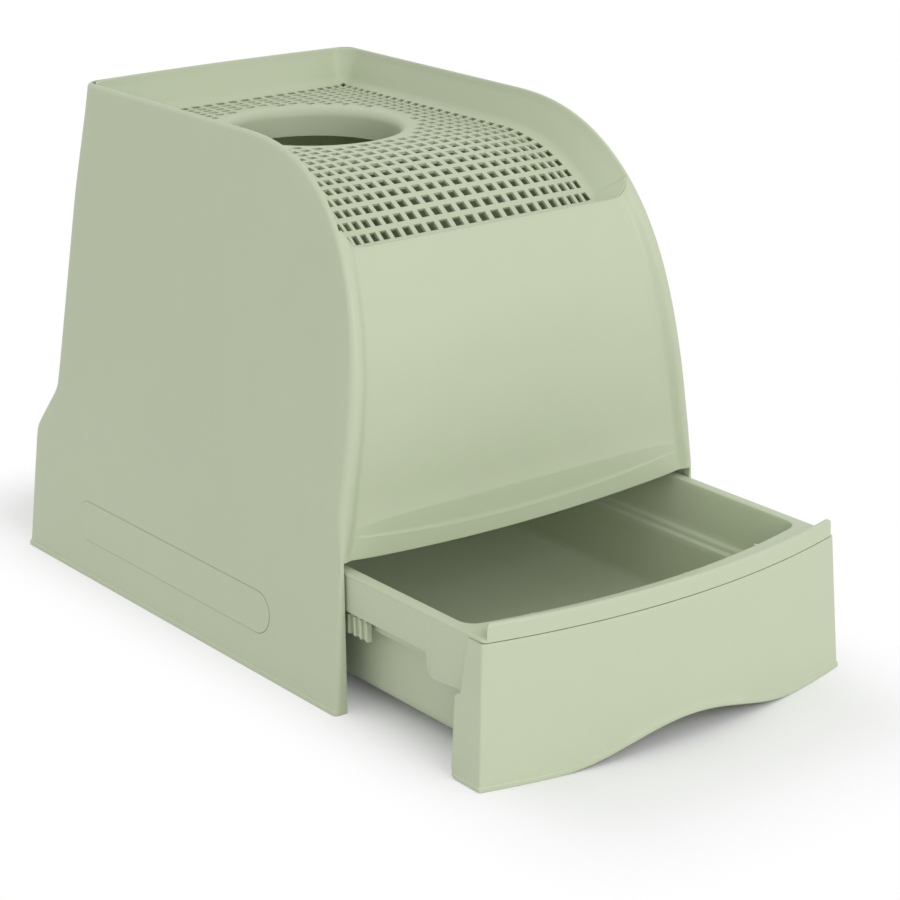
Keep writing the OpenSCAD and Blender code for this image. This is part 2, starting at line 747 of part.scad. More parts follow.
// rim and skirt, the flange with its lip, and the skirt's deeper part behind the drawer front
module pan_rim() {
    translate([0, 0, pan_skirt_z]) linear_extrude(height = pan_rim_z - pan_skirt_z) rim_plan(0);
    translate([0, 0, pan_rim_z - pan_wall]) linear_extrude(height = pan_wall)
        flange_plan(return_back_y + pan_r);
    translate([0, 0, lip_z]) linear_extrude(height = pan_rim_z + lip_h - lip_z) difference() {
        flange_plan(return_back_y);
        translate([0, bow_centre_y]) circle(bow_r - lip_t, $fn = wide_fn);
    }
    for (s = [-1, 1]) translate([s * (pan_rim_w - pan_wall) / 2, 0, 0])
        translate([-pan_wall / 2, return_back_y - return_top_d / 2, ear_z])
            cube([pan_wall, ear_l, pan_rim_z - ear_z]);
}

// brackets behind the screw posts, each joined to the pan's front by two ribs
module pan_brackets() {
    h = pan_rim_z - pan_wall / 2 - post_z + post_d;
    for (k = [0:posts - 1]) {
        x = post_x(k);
        y = bracket_y(x);
        translate([x - bracket_w / 2, y, post_z - post_d]) cube([bracket_w, pan_wall, h]);
        for (e = [-1, 1])
            translate([x + e * (bracket_w - pan_wall) / 2 - pan_wall / 2, y, post_z - post_d])
                cube([pan_wall, front_in_y(x) - y + pan_wall / 2, h]);
    }
}

module litter_pan() {
    color(sage_dark) translate([0, -origin_y, 0]) {
        difference() {
            union() {
                pan_parts(0);
                pan_rim();
                pan_brackets();
                // rails that ride on the runners
                for (s = [-1, 1]) translate([s * (pan_low_w + rail_w - pan_wall) / 2,
                        rail_y + rail_l / 2, shelf_top + runner_gap + rail_h / 2])
                    cube([rail_w + pan_wall, rail_l, rail_h], center = true);
            }
            pan_parts(pan_wall);
            // hollow under the rim, between skirt and pan
            translate([0, 0, pan_skirt_z - cut])
                linear_extrude(height = pan_rim_z - pan_wall - pan_skirt_z + cut) difference() {
                    rim_plan(pan_wall);
                    pan_plan(pan_w, flange_w - pan_wall, rim_w, pan_r);
                }
            // holes for the front's screws
            for (k = [0:posts - 1]) translate([post_x(k), bracket_y(post_x(k)) - cut, post_z])
                rotate([-90, 0, 0]) cylinder(d = screw_d + 2 * screw_gap, h = pan_wall + 2 * cut);
        }
        // roots of the latch tabs
        for (s = [-1, 1]) translate([s * tab_x - tab_t / 2, grip_y, tab_root_z])
            cube([tab_t, tab_l, pan_rim_z - pan_wall / 2 - tab_root_z]);
    }
}

// plan of the rim over sides and back; the front is left to the flange
module rim_plan(inset) {
    r = pan_r + rim_w - inset;
    half = pan_rim_w / 2 - inset;
    front = return_back_y;
    translate([-half, front + inset]) square([2 * half, pan_back - inset - r - front - inset]);
    translate([-half + r, front + inset]) square([2 * (half - r), pan_back - inset - front - inset]);
    for (s = [-1, 1]) translate([s * (half - r), pan_back - inset - r]) circle(r, $fn = round_fn);
}

function post_x(k) = posts == 1 ? 0 : -post_span / 2 + post_span * k / (posts - 1);
function front_in_y(x) = bow_centre_y - sqrt(pow(bow_r - flange_w + pan_wall, 2) - pow(x, 2));
function bracket_y(x) = bow_y(x) + front_t + front_screw_l;

// ---- drawer front ----

// the drawer front's block, drawn in by an inset; its face is a cone, its sides are flat
module front_block(inset) {
    over = inset > 0 ? cut : 0;
    intersection() {
        translate([0, bow_centre_y, -over]) cylinder(r1 = bow_r + front_flare - inset,
            r2 = bow_r - inset, h = front_h + 2 * over, $fn = wide_fn);
        rotate([90, 0, 0]) linear_extrude(height = base_d)
            polygon([[-front_base_w / 2 + inset, -2 * cut], [front_base_w / 2 - inset, -2 * cut],
                [front_w / 2 - inset, front_h + 2 * cut], [-front_w / 2 + inset, front_h + 2 * cut]]);
    }
}

module drawer_front() {
    color(sage) translate([0, -origin_y, 0]) {
        difference() {
            front_block(0);
            front_block(front_t);
            // back edges of the side returns, with their notch
            across(base_w + 2 * cut) polygon([[far, -cut], [return_back_y, -cut],
                [return_back_y, return_notch_z - return_bevel],
                [return_back_y - return_bevel, return_notch_z],
                [return_back_y - return_notch_d, return_notch_z],
                [front_corner_y + return_top_d, front_h + cut], [far, front_h + cut]]);
            // arch in the bottom edge
            translate([0, -drawer_open, 0]) rotate([90, 0, 0]) linear_extrude(height = base_d)
                polygon(concat([[-arch_w / 2, -cut]], [for (k = [0:arch_steps])
                    let (u = 2 * k / arch_steps - 1) [arch_w / 2 * u, arch_h * (1 + cos(180 * u)) / 2]],
                    [[arch_w / 2, -cut]]));
        }
        // screw posts
        difference() {
            for (k = [0:posts - 1]) {
                y0 = bow_y(post_x(k)) + front_t / 2;
                translate([post_x(k), y0, post_z]) rotate([-90, 0, 0])
                    cylinder(d = post_d, h = bracket_y(post_x(k)) - y0);
            }
            for (k = [0:posts - 1]) translate([post_x(k), bracket_y(post_x(k)), post_z])
                rotate([90, 0, 0]) cylinder(d = screw_d, h = front_screw_l - pan_wall);
        }
    }
}

module front_screws() {
    color(steel) translate([0, -origin_y, 0]) for (k = [0:posts - 1])
        translate([post_x(k), bracket_y(post_x(k)) + pan_wall, post_z])
            rotate([90, 0, 0]) screw(front_screw_l);
}

// ---- latch tabs ----

// the tab's middle plane, and where its grip starts; its tooth stands behind the hood's front edge
tab_x = pan_rim_w / 2 - pan_wall - tab_gap - tab_t / 2;
tooth_y = jamb_d + stop_gap;
grip_y = tooth_y - grip_l - tooth_after;
tab_l = tooth_y + tooth_l - grip_y;

module latch_tab(s) {
    half = tab_t / 2;
    color(sage_dark) translate([s * tab_x, grip_y - origin_y, 0]) mirror([s < 0 ? 1 : 0, 0, 0]) {
        translate([-half, 0, tab_z]) cube([tab_t, tab_l, tab_root_z - root_gap - tab_z]);
        // ribs for the fingers
        for (k = [0:grip_ribs - 1])
            translate([0, (grip_l - rib_w) * (grip_ribs == 1 ? 0.5 : k / (grip_ribs - 1)), tab_z])
                cube([half + rib_t, rib_w, pan_skirt_z - rib_drop - tab_z]);
        // tooth
        tooth_out = mouth_w / 2 + tooth_bite - tab_x;
        translate([0, tab_l - tooth_l, tab_z]) cube([tooth_out, tooth_l, tooth_h]);
    }
}

hood_shell();
hood_skirt();
jamb(-1);  // jamb_left
jamb(1);  // jamb_right
entry_deck();
litter_pan();
drawer_front();
side_plate(-1);  // side_plate_left
side_plate(1);  // side_plate_right
runner(-1);  // runner_left
runner(1);  // runner_right
runner_screws();
front_screws();
latch_tab(-1);  // latch_tab_left
latch_tab(1);  // latch_tab_right
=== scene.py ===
"""Drawer litter box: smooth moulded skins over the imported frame, their materials, and the studio.

Pieces are worked out in millimetres, with y counted back from the hood's front foot and z up
from the floor, and are moved into the frame's metres when their mesh is made. The deck is drawn
as a flat sheet first: x across it, s forward along its profile, and n up from it.
"""

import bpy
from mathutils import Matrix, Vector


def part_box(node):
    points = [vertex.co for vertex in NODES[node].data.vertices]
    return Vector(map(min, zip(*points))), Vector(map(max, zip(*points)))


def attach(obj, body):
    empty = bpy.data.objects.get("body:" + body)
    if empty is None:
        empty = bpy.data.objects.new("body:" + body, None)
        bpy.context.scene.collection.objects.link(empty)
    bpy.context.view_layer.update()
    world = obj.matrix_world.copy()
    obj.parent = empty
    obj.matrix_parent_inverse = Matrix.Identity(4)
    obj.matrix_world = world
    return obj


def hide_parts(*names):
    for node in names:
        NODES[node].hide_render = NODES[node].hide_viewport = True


bl_info = {
    "name": "Drawer Litter Box",
    "version": (1, 0, 0),
    "blender": (4, 5, 0),
    "location": "View3D > Sidebar > Litter Box",
    "description": "Builds the moulded pieces, materials and studio of a drawer litter box",
    "category": "Object",
}

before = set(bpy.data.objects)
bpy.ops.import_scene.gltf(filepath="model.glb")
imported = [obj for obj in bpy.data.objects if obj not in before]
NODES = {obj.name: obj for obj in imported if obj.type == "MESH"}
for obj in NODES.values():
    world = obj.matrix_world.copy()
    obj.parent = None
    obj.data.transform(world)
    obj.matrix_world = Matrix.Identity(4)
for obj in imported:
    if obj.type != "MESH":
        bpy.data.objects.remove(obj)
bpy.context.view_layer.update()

import math

import bmesh
import bpy
import numpy as np
from bpy.props import FloatProperty, FloatVectorProperty, PointerProperty
from bpy.types import Operator, Panel, PropertyGroup
from mathutils import Vector
from mathutils.geometry import delaunay_2d_cdt

MM = 0.001
# how far the frame's origin lies behind the hood's front foot
ORIGIN_Y = -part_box("jamb_left")[0].y / MM


# ---- arrays and meshes ----

def cat(*parts):
    """The parts, numbers or lists, joined into one array."""
    return np.concatenate([np.atleast_1d(np.asarray(p, float)) for p in parts])


def stacked(*axes):
    """Points from their coordinates, which are first broadcast to one shape."""
    return np.stack(np.broadcast_arrays(*axes), axis=-1)


def quarter(count):
    """Angles from 0 to a right angle."""
    return np.radians(np.linspace(0, 90, count))


def unit(vectors):
    """The vectors at length 1."""
    return vectors / np.linalg.norm(vectors, axis=-1, keepdims=True)


def ease(x):
    """Smooth step: 3x^2 - 2x^3 between 0 and 1."""
    x = np.clip(x, 0, 1)
    return x * x * (3 - 2 * x)


def bent_line(x, knots, values, soft):
    """A line through the knots whose corners are softened: each change of slope is added as the
    soft ramp (u + sqrt(u^2 + soft^2)) / 2."""
    slopes = np.diff(values) / np.diff(knots)
    out = values[0] + slopes[0] * (x - knots[0])
    for knot, change in zip(knots[1:-1], np.diff(slopes)):
        u = x - knot
        out = out + change * (u + np.sqrt(u * u + soft * soft)) / 2
    return out


class Skin:
    """Gathers grids of points and their faces, then makes one mesh of them."""

    def __init__(self):
        self.points, self.faces, self.count = [], [], 0

    def add(self, points, faces):
        """Points as rows of x, y, z and faces as lists of point numbers."""
        self.points.append(np.asarray(points, float).reshape(-1, 3))
        self.faces.extend((np.asarray(faces) + self.count).tolist())
        self.count += len(self.points[-1])

    def grid(self, points, flip=False, wrap=False):
        """A grid of points joined to its neighbours along rows and columns; wrap joins the last
        column to the first."""
        rows, cols = points.shape[:2]
        ids = np.arange(rows * cols).reshape(rows, cols)
        if wrap:
            ids = np.concatenate([ids, ids[:, :1]], axis=1)
        quads = np.stack([ids[:-1, :-1], ids[:-1, 1:], ids[1:, 1:], ids[1:, :-1]], axis=-1)
        quads = quads.reshape(-1, 4)
        self.add(points, quads[:, ::-1] if flip else quads)

    def cap(self, ring):
        """A flat face over one closed ring of points."""
        self.add(ring, np.arange(len(ring))[None, :])

    def block(self, lo, hi):
        """A box between two corners, as six faces of its own."""
        (x0, y0, z0), (x1, y1, z1) = lo, hi
        points = [[x, y, z] for z in (z0, z1) for y in (y0, y1) for x in (x0, x1)]
        faces = [[0, 2, 3, 1], [4, 5, 7, 6], [0, 1, 5, 4], [2, 6, 7, 3], [0, 4, 6, 2], [1, 3, 7, 5]]
        self.add(points, faces)

    def both_sides(self):
        """Adds the mirror image across x = 0, its faces turned over."""
        points = np.concatenate(self.points)
        total = len(points)
        self.faces += [[i + total for i in reversed(f)] for f in self.faces]
        self.points = [points, points * [-1, 1, 1]]
        self.count = 2 * total

    def flipped(self):
        """Turns the whole skin into its mirror image across x = 0."""
        self.points = [p * [-1, 1, 1] for p in self.points]
        self.faces = [list(reversed(f)) for f in self.faces]

    def make(self, name, join=0.02, wall=0.0, bevel=0.0, sharp=38):
        """The finished object: points closer than join are merged, faces are turned to one side,
        the one that looks out at the top, the wall grows inwards, sharp edges are bevelled, and
        what stays sharp is shaded so."""
        points = (np.concatenate(self.points) - [0, ORIGIN_Y, 0]) * MM
        mesh = bpy.data.meshes.new(name)
        mesh.from_pydata(points.tolist(), [], self.faces)
        bm = bmesh.new()
        bm.from_mesh(mesh)
        bmesh.ops.remove_doubles(bm, verts=bm.verts, dist=join * MM)
        bmesh.ops.dissolve_degenerate(bm, edges=bm.edges, dist=1e-6)
        bmesh.ops.recalc_face_normals(bm, faces=bm.faces)
        bm.faces.ensure_lookup_table()
        top = max(bm.faces, key=lambda face: face.calc_center_median().z)
        if top.normal.z < 0:
            bmesh.ops.reverse_faces(bm, faces=bm.faces)
        bm.to_mesh(mesh)
        bm.free()
        obj = bpy.data.objects.new(name, mesh)
        bpy.context.scene.collection.objects.link(obj)
        if wall:
            thicken(obj, wall)
        if bevel:
            soften(obj, bevel)
        if wall or bevel:
            settle(obj)
        obj.data.shade_smooth()
        obj.data.set_sharp_from_angle(angle=math.radians(sharp))
        return obj


def thicken(obj, wall):
    """Lets the wall grow inwards from the surface."""
    solid = obj.modifiers.new("wall", "SOLIDIFY")
    solid.thickness = wall * MM
    solid.offset = -1
    solid.use_even_offset = True
    solid.thickness_clamp = 0


def soften(obj, width):
    """Bevels the sharp edges."""
    edge = obj.modifiers.new("edges", "BEVEL")
    edge.width = width * MM
    edge.segments = 2
    edge.limit_method = "ANGLE"
    edge.angle_limit = math.radians(50)
    edge.use_clamp_overlap = True


def settle(obj):
    """Applies the modifiers and keeps every point on or over the floor."""
    depsgraph = bpy.context.evaluated_depsgraph_get()
    done = bpy.data.meshes.new_from_object(obj.evaluated_get(depsgraph))
    obj.modifiers.clear()
    place = np.empty(3 * len(done.vertices))
    done.vertices.foreach_get("co", place)
    place[2::3] = np.maximum(place[2::3], 0)
    done.vertices.foreach_set("co", place)
    obj.data = done
    done.name = obj.name


# ---- the hood's form ----

BODY_H, WALL = 440.0, 3.0
# half the width and the back: at the floor, at the waist's two bends and at the top
WAIST = [0.0, 118.0, 164.0, BODY_H]
HALF_W = [197.5, 189.2, 187.6, 145.6]
BACK_Y = [496.0, 487.5, 448.5, 447.0]
# how soft those bends are on the sides and on the back
SIDE_SOFT, BACK_SOFT = 3.0, 5.0
# how far the back bows out at the middle, and the height over which the bow grows
BACK_BOW, BOW_RISE = 5.0, 240.0
# radius of the back corners low down and at the top, where it starts to grow, and that rise
CORNER_R, TOP_CORNER_R, CORNER_Z, CORNER_RISE = 8.0, 15.0, 330.0, 105.0
# bead at the foot: how far it stands out, its height and the height of its upper edge
BEAD_OUT, BEAD_H, BEAD_EDGE = 1.0, 3.4, 1.0
# the side's front outline: how far it leans back up to its curve, the curve's foot, run and power
LEAN, CURVE_Z, CURVE_RUN, POWER = 3.0, 184.0, 193.0, 2 / 2.55
# front edge's radius: most beside the mouth and most of the room there, at the visor, over it,
# and at the top
EDGE_MOUTH, EDGE_ROOM, EDGE_VISOR, EDGE_MID, EDGE_TOP = 4.5, 0.7, 2.0, 7.0, 3.4
# width of the flat beside the edge: at the visor, and what it gains over it and at the top
FLAT_VISOR, FLAT_OVER, FLAT_TOP = 0.3, 1.2, 1.1
# heights that part the front edge: the visor's foot with the rises over which radius and flat
# grow there, and where the edge starts to tighten with the rise for that
VISOR_Z, EDGE_RISE, FLAT_RISE, SHOULDER_Z, SHOULDER_RISE = 128.0, 40.0, 30.0, 250.0, 120.0
# half the mouth's width, how far its returns run back, and their least thickness
MOUTH, RETURN_D, RETURN_LEAST = 186.0, 12.0, 0.3
# the deck's bend: its axis as y and z, its radius, and the deck's level behind it
BEND = (192.5, 219.5)
DECK_R = 187.0
DECK_Z = BEND[1] + DECK_R
# the front wall's upper edge, as an angle about the bend, and the gap to the deck
SEAM, RIM_GAP = math.radians(44.3), 0.3
# how far the front wall is set back at the top and low down, the height and rise between the
# two, and the width of its fillet
SET_BACK, LOW_SET_BACK, SET_BACK_Z, SET_BACK_RISE, WALL_FILLET = 5.2, 3.6, 120.0, 130.0, 11.0
# the seam's round corners: rise over its middle, rows drawn along below, radius, place
SEAM_RISE, SEAM_STRETCH, SEAM_CORNER_R, SEAM_CORNER_X = 15.0, 40.0, 17.0, 131.0
# the visor: share of the width its lines are taken at, where it runs out upwards and sideways,
# the width of that, and the share of its steps' height that is shown
VISOR_U, FLARE_Z, VISOR_X, VISOR_FADE, RELIEF = 0.985, 176.0, 176.0, 16.0, 0.62
# heights of the visor's lower, middle and upper line, each with how far it curves
LOWER_LINE, MIDDLE_LINE, UPPER_LINE = (129.0, 8.5), (134.0, 14.0), (156.5, 8.5)
# the visor's two steps: how far each stands out at its foot, and how much more at its top
LOWER_STEP, UPPER_STEP = (1.5, 0.9), (1.3, 1.0)
# heights of the level rows beside the mouth
MOUTH_ROWS = [0, 0.8, 2.6, 3.4, 3.9, 4.4, 5.2, 8, 20, 40, 60, 80, 95, 104, 110, 114, 116.5, 118,
              119.5, 122, 125.5]


def foot_bead(z):
    """How far the bead at the hood's foot stands out."""
    return BEAD_OUT * (1 - ease((z - BEAD_H) / BEAD_EDGE))


def half_w(z):
    """Half the hood's width at a height."""
    return bent_line(z, WAIST, HALF_W, SIDE_SOFT) + foot_bead(z)


def back_y(z):
    """The hood's back at a height."""
    return bent_line(z, WAIST, BACK_Y, BACK_SOFT) + foot_bead(z)


def corner_r(z):
    """Radius of the hood's back corners at a height: wider towards the top."""
    return CORNER_R + (TOP_CORNER_R - CORNER_R) * ease((z - CORNER_Z) / CORNER_RISE)


def rim(t):
    """The side's front curve: y = lean + run (1 - cos^p t), z = foot + rise sin^p t."""
    return stacked(LEAN + CURVE_RUN * (1 - np.cos(t) ** POWER),
                   CURVE_Z + (BODY_H - CURVE_Z) * np.sin(t) ** POWER)


def rim_out(t):
    """The curve's outward normal, from the slopes of its two terms."""
    q = 2 - POWER
    return unit(stacked(-np.cos(t) ** q / CURVE_RUN, np.sin(t) ** q / (BODY_H - CURVE_Z)))


# the curve by its length: a fine table of parameter, point and distance
RIM_T = np.clip(math.pi / 2 * ease(np.linspace(0, 1, 20001)), 1e-9, math.pi / 2 - 1e-9)
RIM_P = rim(RIM_T)
RIM_S = cat(0, np.cumsum(np.linalg.norm(np.diff(RIM_P, axis=0), axis=1)))


def t_at(s):
    """The curve's parameter at a distance along it."""
    return np.interp(s, RIM_S, RIM_T)


def s_at_angle(angle, inset):
    """Distance along the curve at which its line, drawn in, lies at an angle about the bend."""
    p = RIM_P - inset * rim_out(RIM_T)
    a = np.arctan2(BEND[0] - p[:, 0], p[:, 1] - BEND[1])
    return np.interp(-angle, -a, RIM_S)


SEAM_S = s_at_angle(SEAM, SET_BACK)


def lower_z(u):
    """The visor's lower edge at a share of the half width: an arch that hangs at the middle."""
    z, hang = LOWER_LINE
    return z - hang * (1 - u ** 2)


def middle_z(u):
    """The line between the visor's two steps, low at the middle."""
    z, rise = MIDDLE_LINE
    return z + rise * u ** 2


def upper_z(u):
    """The upper step's upper line: level, and drawn down close to its ends."""
    z, drop = UPPER_LINE
    return z - drop * u ** 10


def level(z):
    """A row at one height."""
    return lambda u: z + 0 * u


def between(low, high, share):
    """A row at a share of the way from one line to another."""
    return lambda u: low(u) + (high(u) - low(u)) * share


def front_rows():
    """Rows of the front wall from the visor's lower edge to the curve's foot, each a pair: a
    function of u that gives the row's height, and how far the visor stands out there."""
    foot, more = LOWER_STEP
    rows = [(between(lower_z, middle_z, k), foot + more * k) for k in (0, 0.08, 0.3, 0.6, 0.85, 0.95, 1)]
    foot, more = UPPER_STEP
    rows += [(between(middle_z, upper_z, k), foot + more * k)
             for k in (0.07, 0.2, 0.4, 0.6, 0.8, 0.93, 1)]
    rows += [(between(upper_z, level(FLARE_Z), k), (foot + more) * (1 - k) ** 2.2)
             for k in (0.04, 0.1, 0.18, 0.28, 0.38, 0.46, 0.5, 0.54, 0.58, 0.66, 0.78, 0.9, 1)]
    return rows + [(level(CURVE_Z), 0.0)]


def edge_round(z):
    """Radius of the edge between side and front at a height, and the flat beside it, which fills
    what the edge leaves of the way to the mouth and widens in two steps over it."""
    room = half_w(z) - MOUTH
    tighten = ease((z - SHOULDER_Z) / SHOULDER_RISE)
    r = np.where(z < VISOR_Z, np.minimum(EDGE_MOUTH, EDGE_ROOM * room),
                 EDGE_VISOR + (EDGE_MID - EDGE_VISOR) * ease((z - VISOR_Z + 1) / EDGE_RISE))
    r = np.where(z > SHOULDER_Z, EDGE_TOP + (EDGE_MID - EDGE_TOP) * (1 - tighten), r)
    over = FLAT_VISOR + FLAT_OVER * ease((z - VISOR_Z) / FLAT_RISE) + FLAT_TOP * tighten
    return r, np.where(z < VISOR_Z + 1, room - r, over)


def round_back(z, d):
    """Rows of points round the back corner and along half the back, at heights z and drawn in by
    d; above the waist the back bows out."""
    z, d = z[:, None], d[:, None]
    turn = quarter(9)
    x_c, y_c = half_w(z) - corner_r(z), back_y(z) - corner_r(z)
    r = corner_r(z) - d
    corner = stacked(x_c + r * np.cos(turn), y_c + r * np.sin(turn), z)
    k = np.linspace(1, 0, 9)[1:]
    bow = BACK_BOW * ease((z - WAIST[1]) / BOW_RISE) * (1 - k ** 2)
    return np.concatenate([corner, stacked(x_c * k, y_c + r + bow, z)], axis=1)


class HoodForm:
    """One half of the hood as grids of points. Stations run up its front edge: each is a point of
    the side's outline with its outward normal, the edge's radius and the flat beside it."""

    def __init__(self):
        self.rows = front_rows()
        self.s_front = np.linspace(0, SEAM_S, 34)[1:]
        self.pull = ease((self.s_front - (SEAM_S - SEAM_STRETCH)) / SEAM_STRETCH)
        s_edge = self.s_front + SEAM_RISE * self.pull
        s_rest = np.linspace(s_edge[-1], RIM_S[-1], 34)[1:]
        z_line = cat(MOUTH_ROWS, [height(VISOR_U) for height, _ in self.rows])
        t = t_at(cat(s_edge, s_rest))
        self.outline = np.concatenate([stacked(LEAN * z_line / CURVE_Z, z_line), rim(t)])
        self.normal = np.concatenate([np.tile([-1.0, 0.0], (len(z_line), 1)), rim_out(t)])
        radius, flat = edge_round(self.outline[:, 1:])
        turn = quarter(9)
        self.edge_in, self.edge_up = radius * (1 - np.cos(turn)), radius * (np.sin(turn) - 1)
        self.edge = self.stations(self.edge_in, self.edge_up)
        flat_in = radius + flat * np.linspace(0, 1, 3)
        self.crest = self.stations(flat_in, 0 * flat_in)[:len(z_line) + len(s_edge)]

    def stations(self, d, n):
        """Points at a distance in from the side and a height over the outline, per station."""
        yz = self.outline[:, None, :] + n[..., None] * self.normal[:, None, :]
        return stacked(half_w(yz[..., 1]) - d, yz[..., 0], yz[..., 1])

    def mouth_return(self):
        """The strip that runs back beside the mouth and ends at the side wall's inner face."""
        mouth = self.crest[:len(MOUTH_ROWS) + 1, -1]
        depth = np.array([0, RETURN_D / 4, RETURN_D])
        back = stacked(mouth[:, :1], mouth[:, 1:2] * (1 - depth / RETURN_D) + depth, mouth[:, 2:])
        wide = back[:, -1:].copy()
        wide[..., 0] += np.maximum(half_w(wide[..., 2]) - WALL - MOUTH, RETURN_LEAST)
        return np.concatenate([back, wide], axis=1)

    def front_wall(self):
        """The front wall in rows from the edge's flat, round a soft fillet, to the middle: set
        back from the side's outline, with the visor's steps standing out again. Rows near the
        seam are pulled up towards its round corners."""
        edge_x = self.crest[len(MOUTH_ROWS):, -1:, 0]
        fillet_x = edge_x - WALL_FILLET * np.linspace(0, 1, 11)[1:]
        x = np.concatenate([edge_x, fillet_x, (edge_x - WALL_FILLET) * np.linspace(1, 0, 18)[1:]], axis=1)
        share = x / edge_x
        z_low = np.stack([height(VISOR_U * u) for (height, _), u in zip(self.rows, share)])
        past = np.clip(x[len(self.rows):] - SEAM_CORNER_X, 0, SEAM_CORNER_R - 0.1)
        lift = np.minimum(SEAM_CORNER_R - np.sqrt(SEAM_CORNER_R ** 2 - past ** 2), SEAM_RISE)
        lift = lift * SEAM_RISE / lift[:, :1]
        t = t_at(self.s_front[:, None] + lift * self.pull[:, None])
        line = np.concatenate([stacked(LEAN * z_low / CURVE_Z, z_low), rim(t)])
        normal = np.concatenate([np.tile([-1.0, 0.0], z_low.shape + (1,)), rim_out(t)])
        inset = LOW_SET_BACK + (SET_BACK - LOW_SET_BACK) * ease((line[..., 1] - SET_BACK_Z) / SET_BACK_RISE)
        inset = inset * ease((edge_x - x) / WALL_FILLET)
        for k, (_, bump) in enumerate(self.rows):
            inset[k] -= RELIEF * bump * ease((VISOR_X - x[k]) / VISOR_FADE)
        yz = line - inset[..., None] * normal
        return stacked(x, yz[..., 0], yz[..., 1])

    def sides(self):
        """Two grids: side, back corner and back in level rows, and the round edge on top of them."""
        start = self.edge[:, 0]
        y0, z = start[:, 1:2], start[:, 2:]
        run = np.linspace(0, 1, 15)
        run = 0.35 * ease(run) + 0.65 * run
        side_y = y0 + (back_y(z) - corner_r(z) - y0) * run
        rear = round_back(start[:, 2], 0 * start[:, 2])
        walls = np.concatenate([stacked(half_w(z), side_y, z), rear[:, 1:]], axis=1)
        d_top, z_top = self.edge_in[-1], BODY_H + self.edge_up[-1]
        along = stacked((half_w(z_top) - d_top)[:, None], side_y[-1], z_top[:, None])
        return walls, np.concatenate([along, round_back(z_top, d_top)[:, 1:]], axis=1)


def hood_skin():
    """The hood: its front edges follow the side's curve as an arc of changing radius, the side
    and back run off them in level rows, and the front wall spans between them."""
    skin, form = Skin(), HoodForm()
    for grid in (form.edge, form.crest, form.mouth_return(), form.front_wall()):
        skin.grid(grid)
    for grid in form.sides():
        skin.grid(grid, flip=True)
    skin.both_sides()
    return skin


# ---- the deck's form ----

HOLE_COLS, HOLE_ROWS = 23, 31
# width the columns take, how far they crowd towards the sides, and a hole's share of its cell
HOLE_SPAN, CROWDING, HOLE_SHARE = 249.0, math.radians(58), 0.62
BACK_ROW, ROW_PITCH, FRONT_GAP = 20.0, 9.2, 18.5
# the entry: its axis, the radius where its collar rises, its throat and its collar's depth
ENTRY_Y, CREST_R, THROAT_R, COLLAR_H = 299.0, 86.0, 77.0, 26.0
ENTRY_STEPS = 96
# y from which the profile is measured forward, and where along it the bend starts
PROFILE_Y = 446.0
LEVEL_RUN = PROFILE_Y - BEND[0]
ENTRY_S = PROFILE_Y - ENTRY_Y
HOLES_RUN = LEVEL_RUN - BACK_ROW + SEAM * DECK_R - FRONT_GAP
# foot of the deck's walls: half width, radii of its corners, radius of the fillet there, and
# its front and back along the profile
FOOT_X, FOOT_FRONT_R, FOOT_BACK_R, FILLET = 130.0, 16.0, 10.0, 12.0
FOOT_FRONT = LEVEL_RUN + (SEAM - 0.014) * DECK_R - 4
FOOT_BACK = 13.0
# the fillet belongs to the sheet up to this angle and to the wall from there
SHEET_TURN = math.radians(40)
# length of the sides over which the wall's stations are drawn towards the seam's end
SIDE_PULL = 60.0
# least gap between the holes and the entry, least gap to the sheet's edge before a hole is made
# narrower, and the share of its width that is left
ENTRY_GAP, EDGE_GAP, NARROWER = 3.0, 0.4, 0.8
LIP_R = 1.4


def row_s(k):
    """Distance of a row of holes from the back row, growing evenly towards the front."""
    last = HOLE_ROWS - 1
    return ROW_PITCH * k + (HOLES_RUN - ROW_PITCH * last) * (k / last) ** 2


def col_x(u):
    """Place of a column of holes: the columns crowd towards the sides as a sine does."""
    return HOLE_SPAN / 2 * np.sin(CROWDING * u) / math.sin(CROWDING)


def deck_line(s):
    """The deck's profile by distance: level, then round the bend. Gives y, z, and the upward
    normal's y and z."""
    a = np.maximum(s - LEVEL_RUN, 0) / DECK_R
    y = np.where(a > 0, BEND[0] - DECK_R * np.sin(a), PROFILE_Y - s)
    z = np.where(a > 0, BEND[1] + DECK_R * np.cos(a), DECK_Z)
    return y, z, -np.sin(a), np.cos(a)


def on_deck(x, s, n):
    """Points of the deck: across, along the profile, and up its normal."""
    y, z, ny, nz = deck_line(s)
    return stacked(x, y + n * ny, z + n * nz)


def rim_table():
    """The hood's rim over the deck by distance along the profile: how far up the normal it is
    reached, and half the width that the deck may take there."""
    s = np.linspace(0, LEVEL_RUN + (SEAM + 0.06) * DECK_R, 400)
    _, z, _, nz = deck_line(s)
    top = stacked(np.linspace(500, 196, 60), BODY_H)
    outline = np.concatenate([top, RIM_P[::-40]])
    dy, dz = BEND[0] - outline[:, 0], outline[:, 1] - BEND[1]
    angle, dist = np.arctan2(dy, dz), np.hypot(dy, dz)
    order = np.argsort(angle)
    bend_a = np.maximum(s - LEVEL_RUN, 0) / DECK_R
    reach = np.interp(bend_a, angle[order], dist[order]) - DECK_R
    reach = np.where(bend_a > 0, reach, BODY_H - DECK_Z)
    return s, reach, half_w(z + nz * reach) - WALL - RIM_GAP


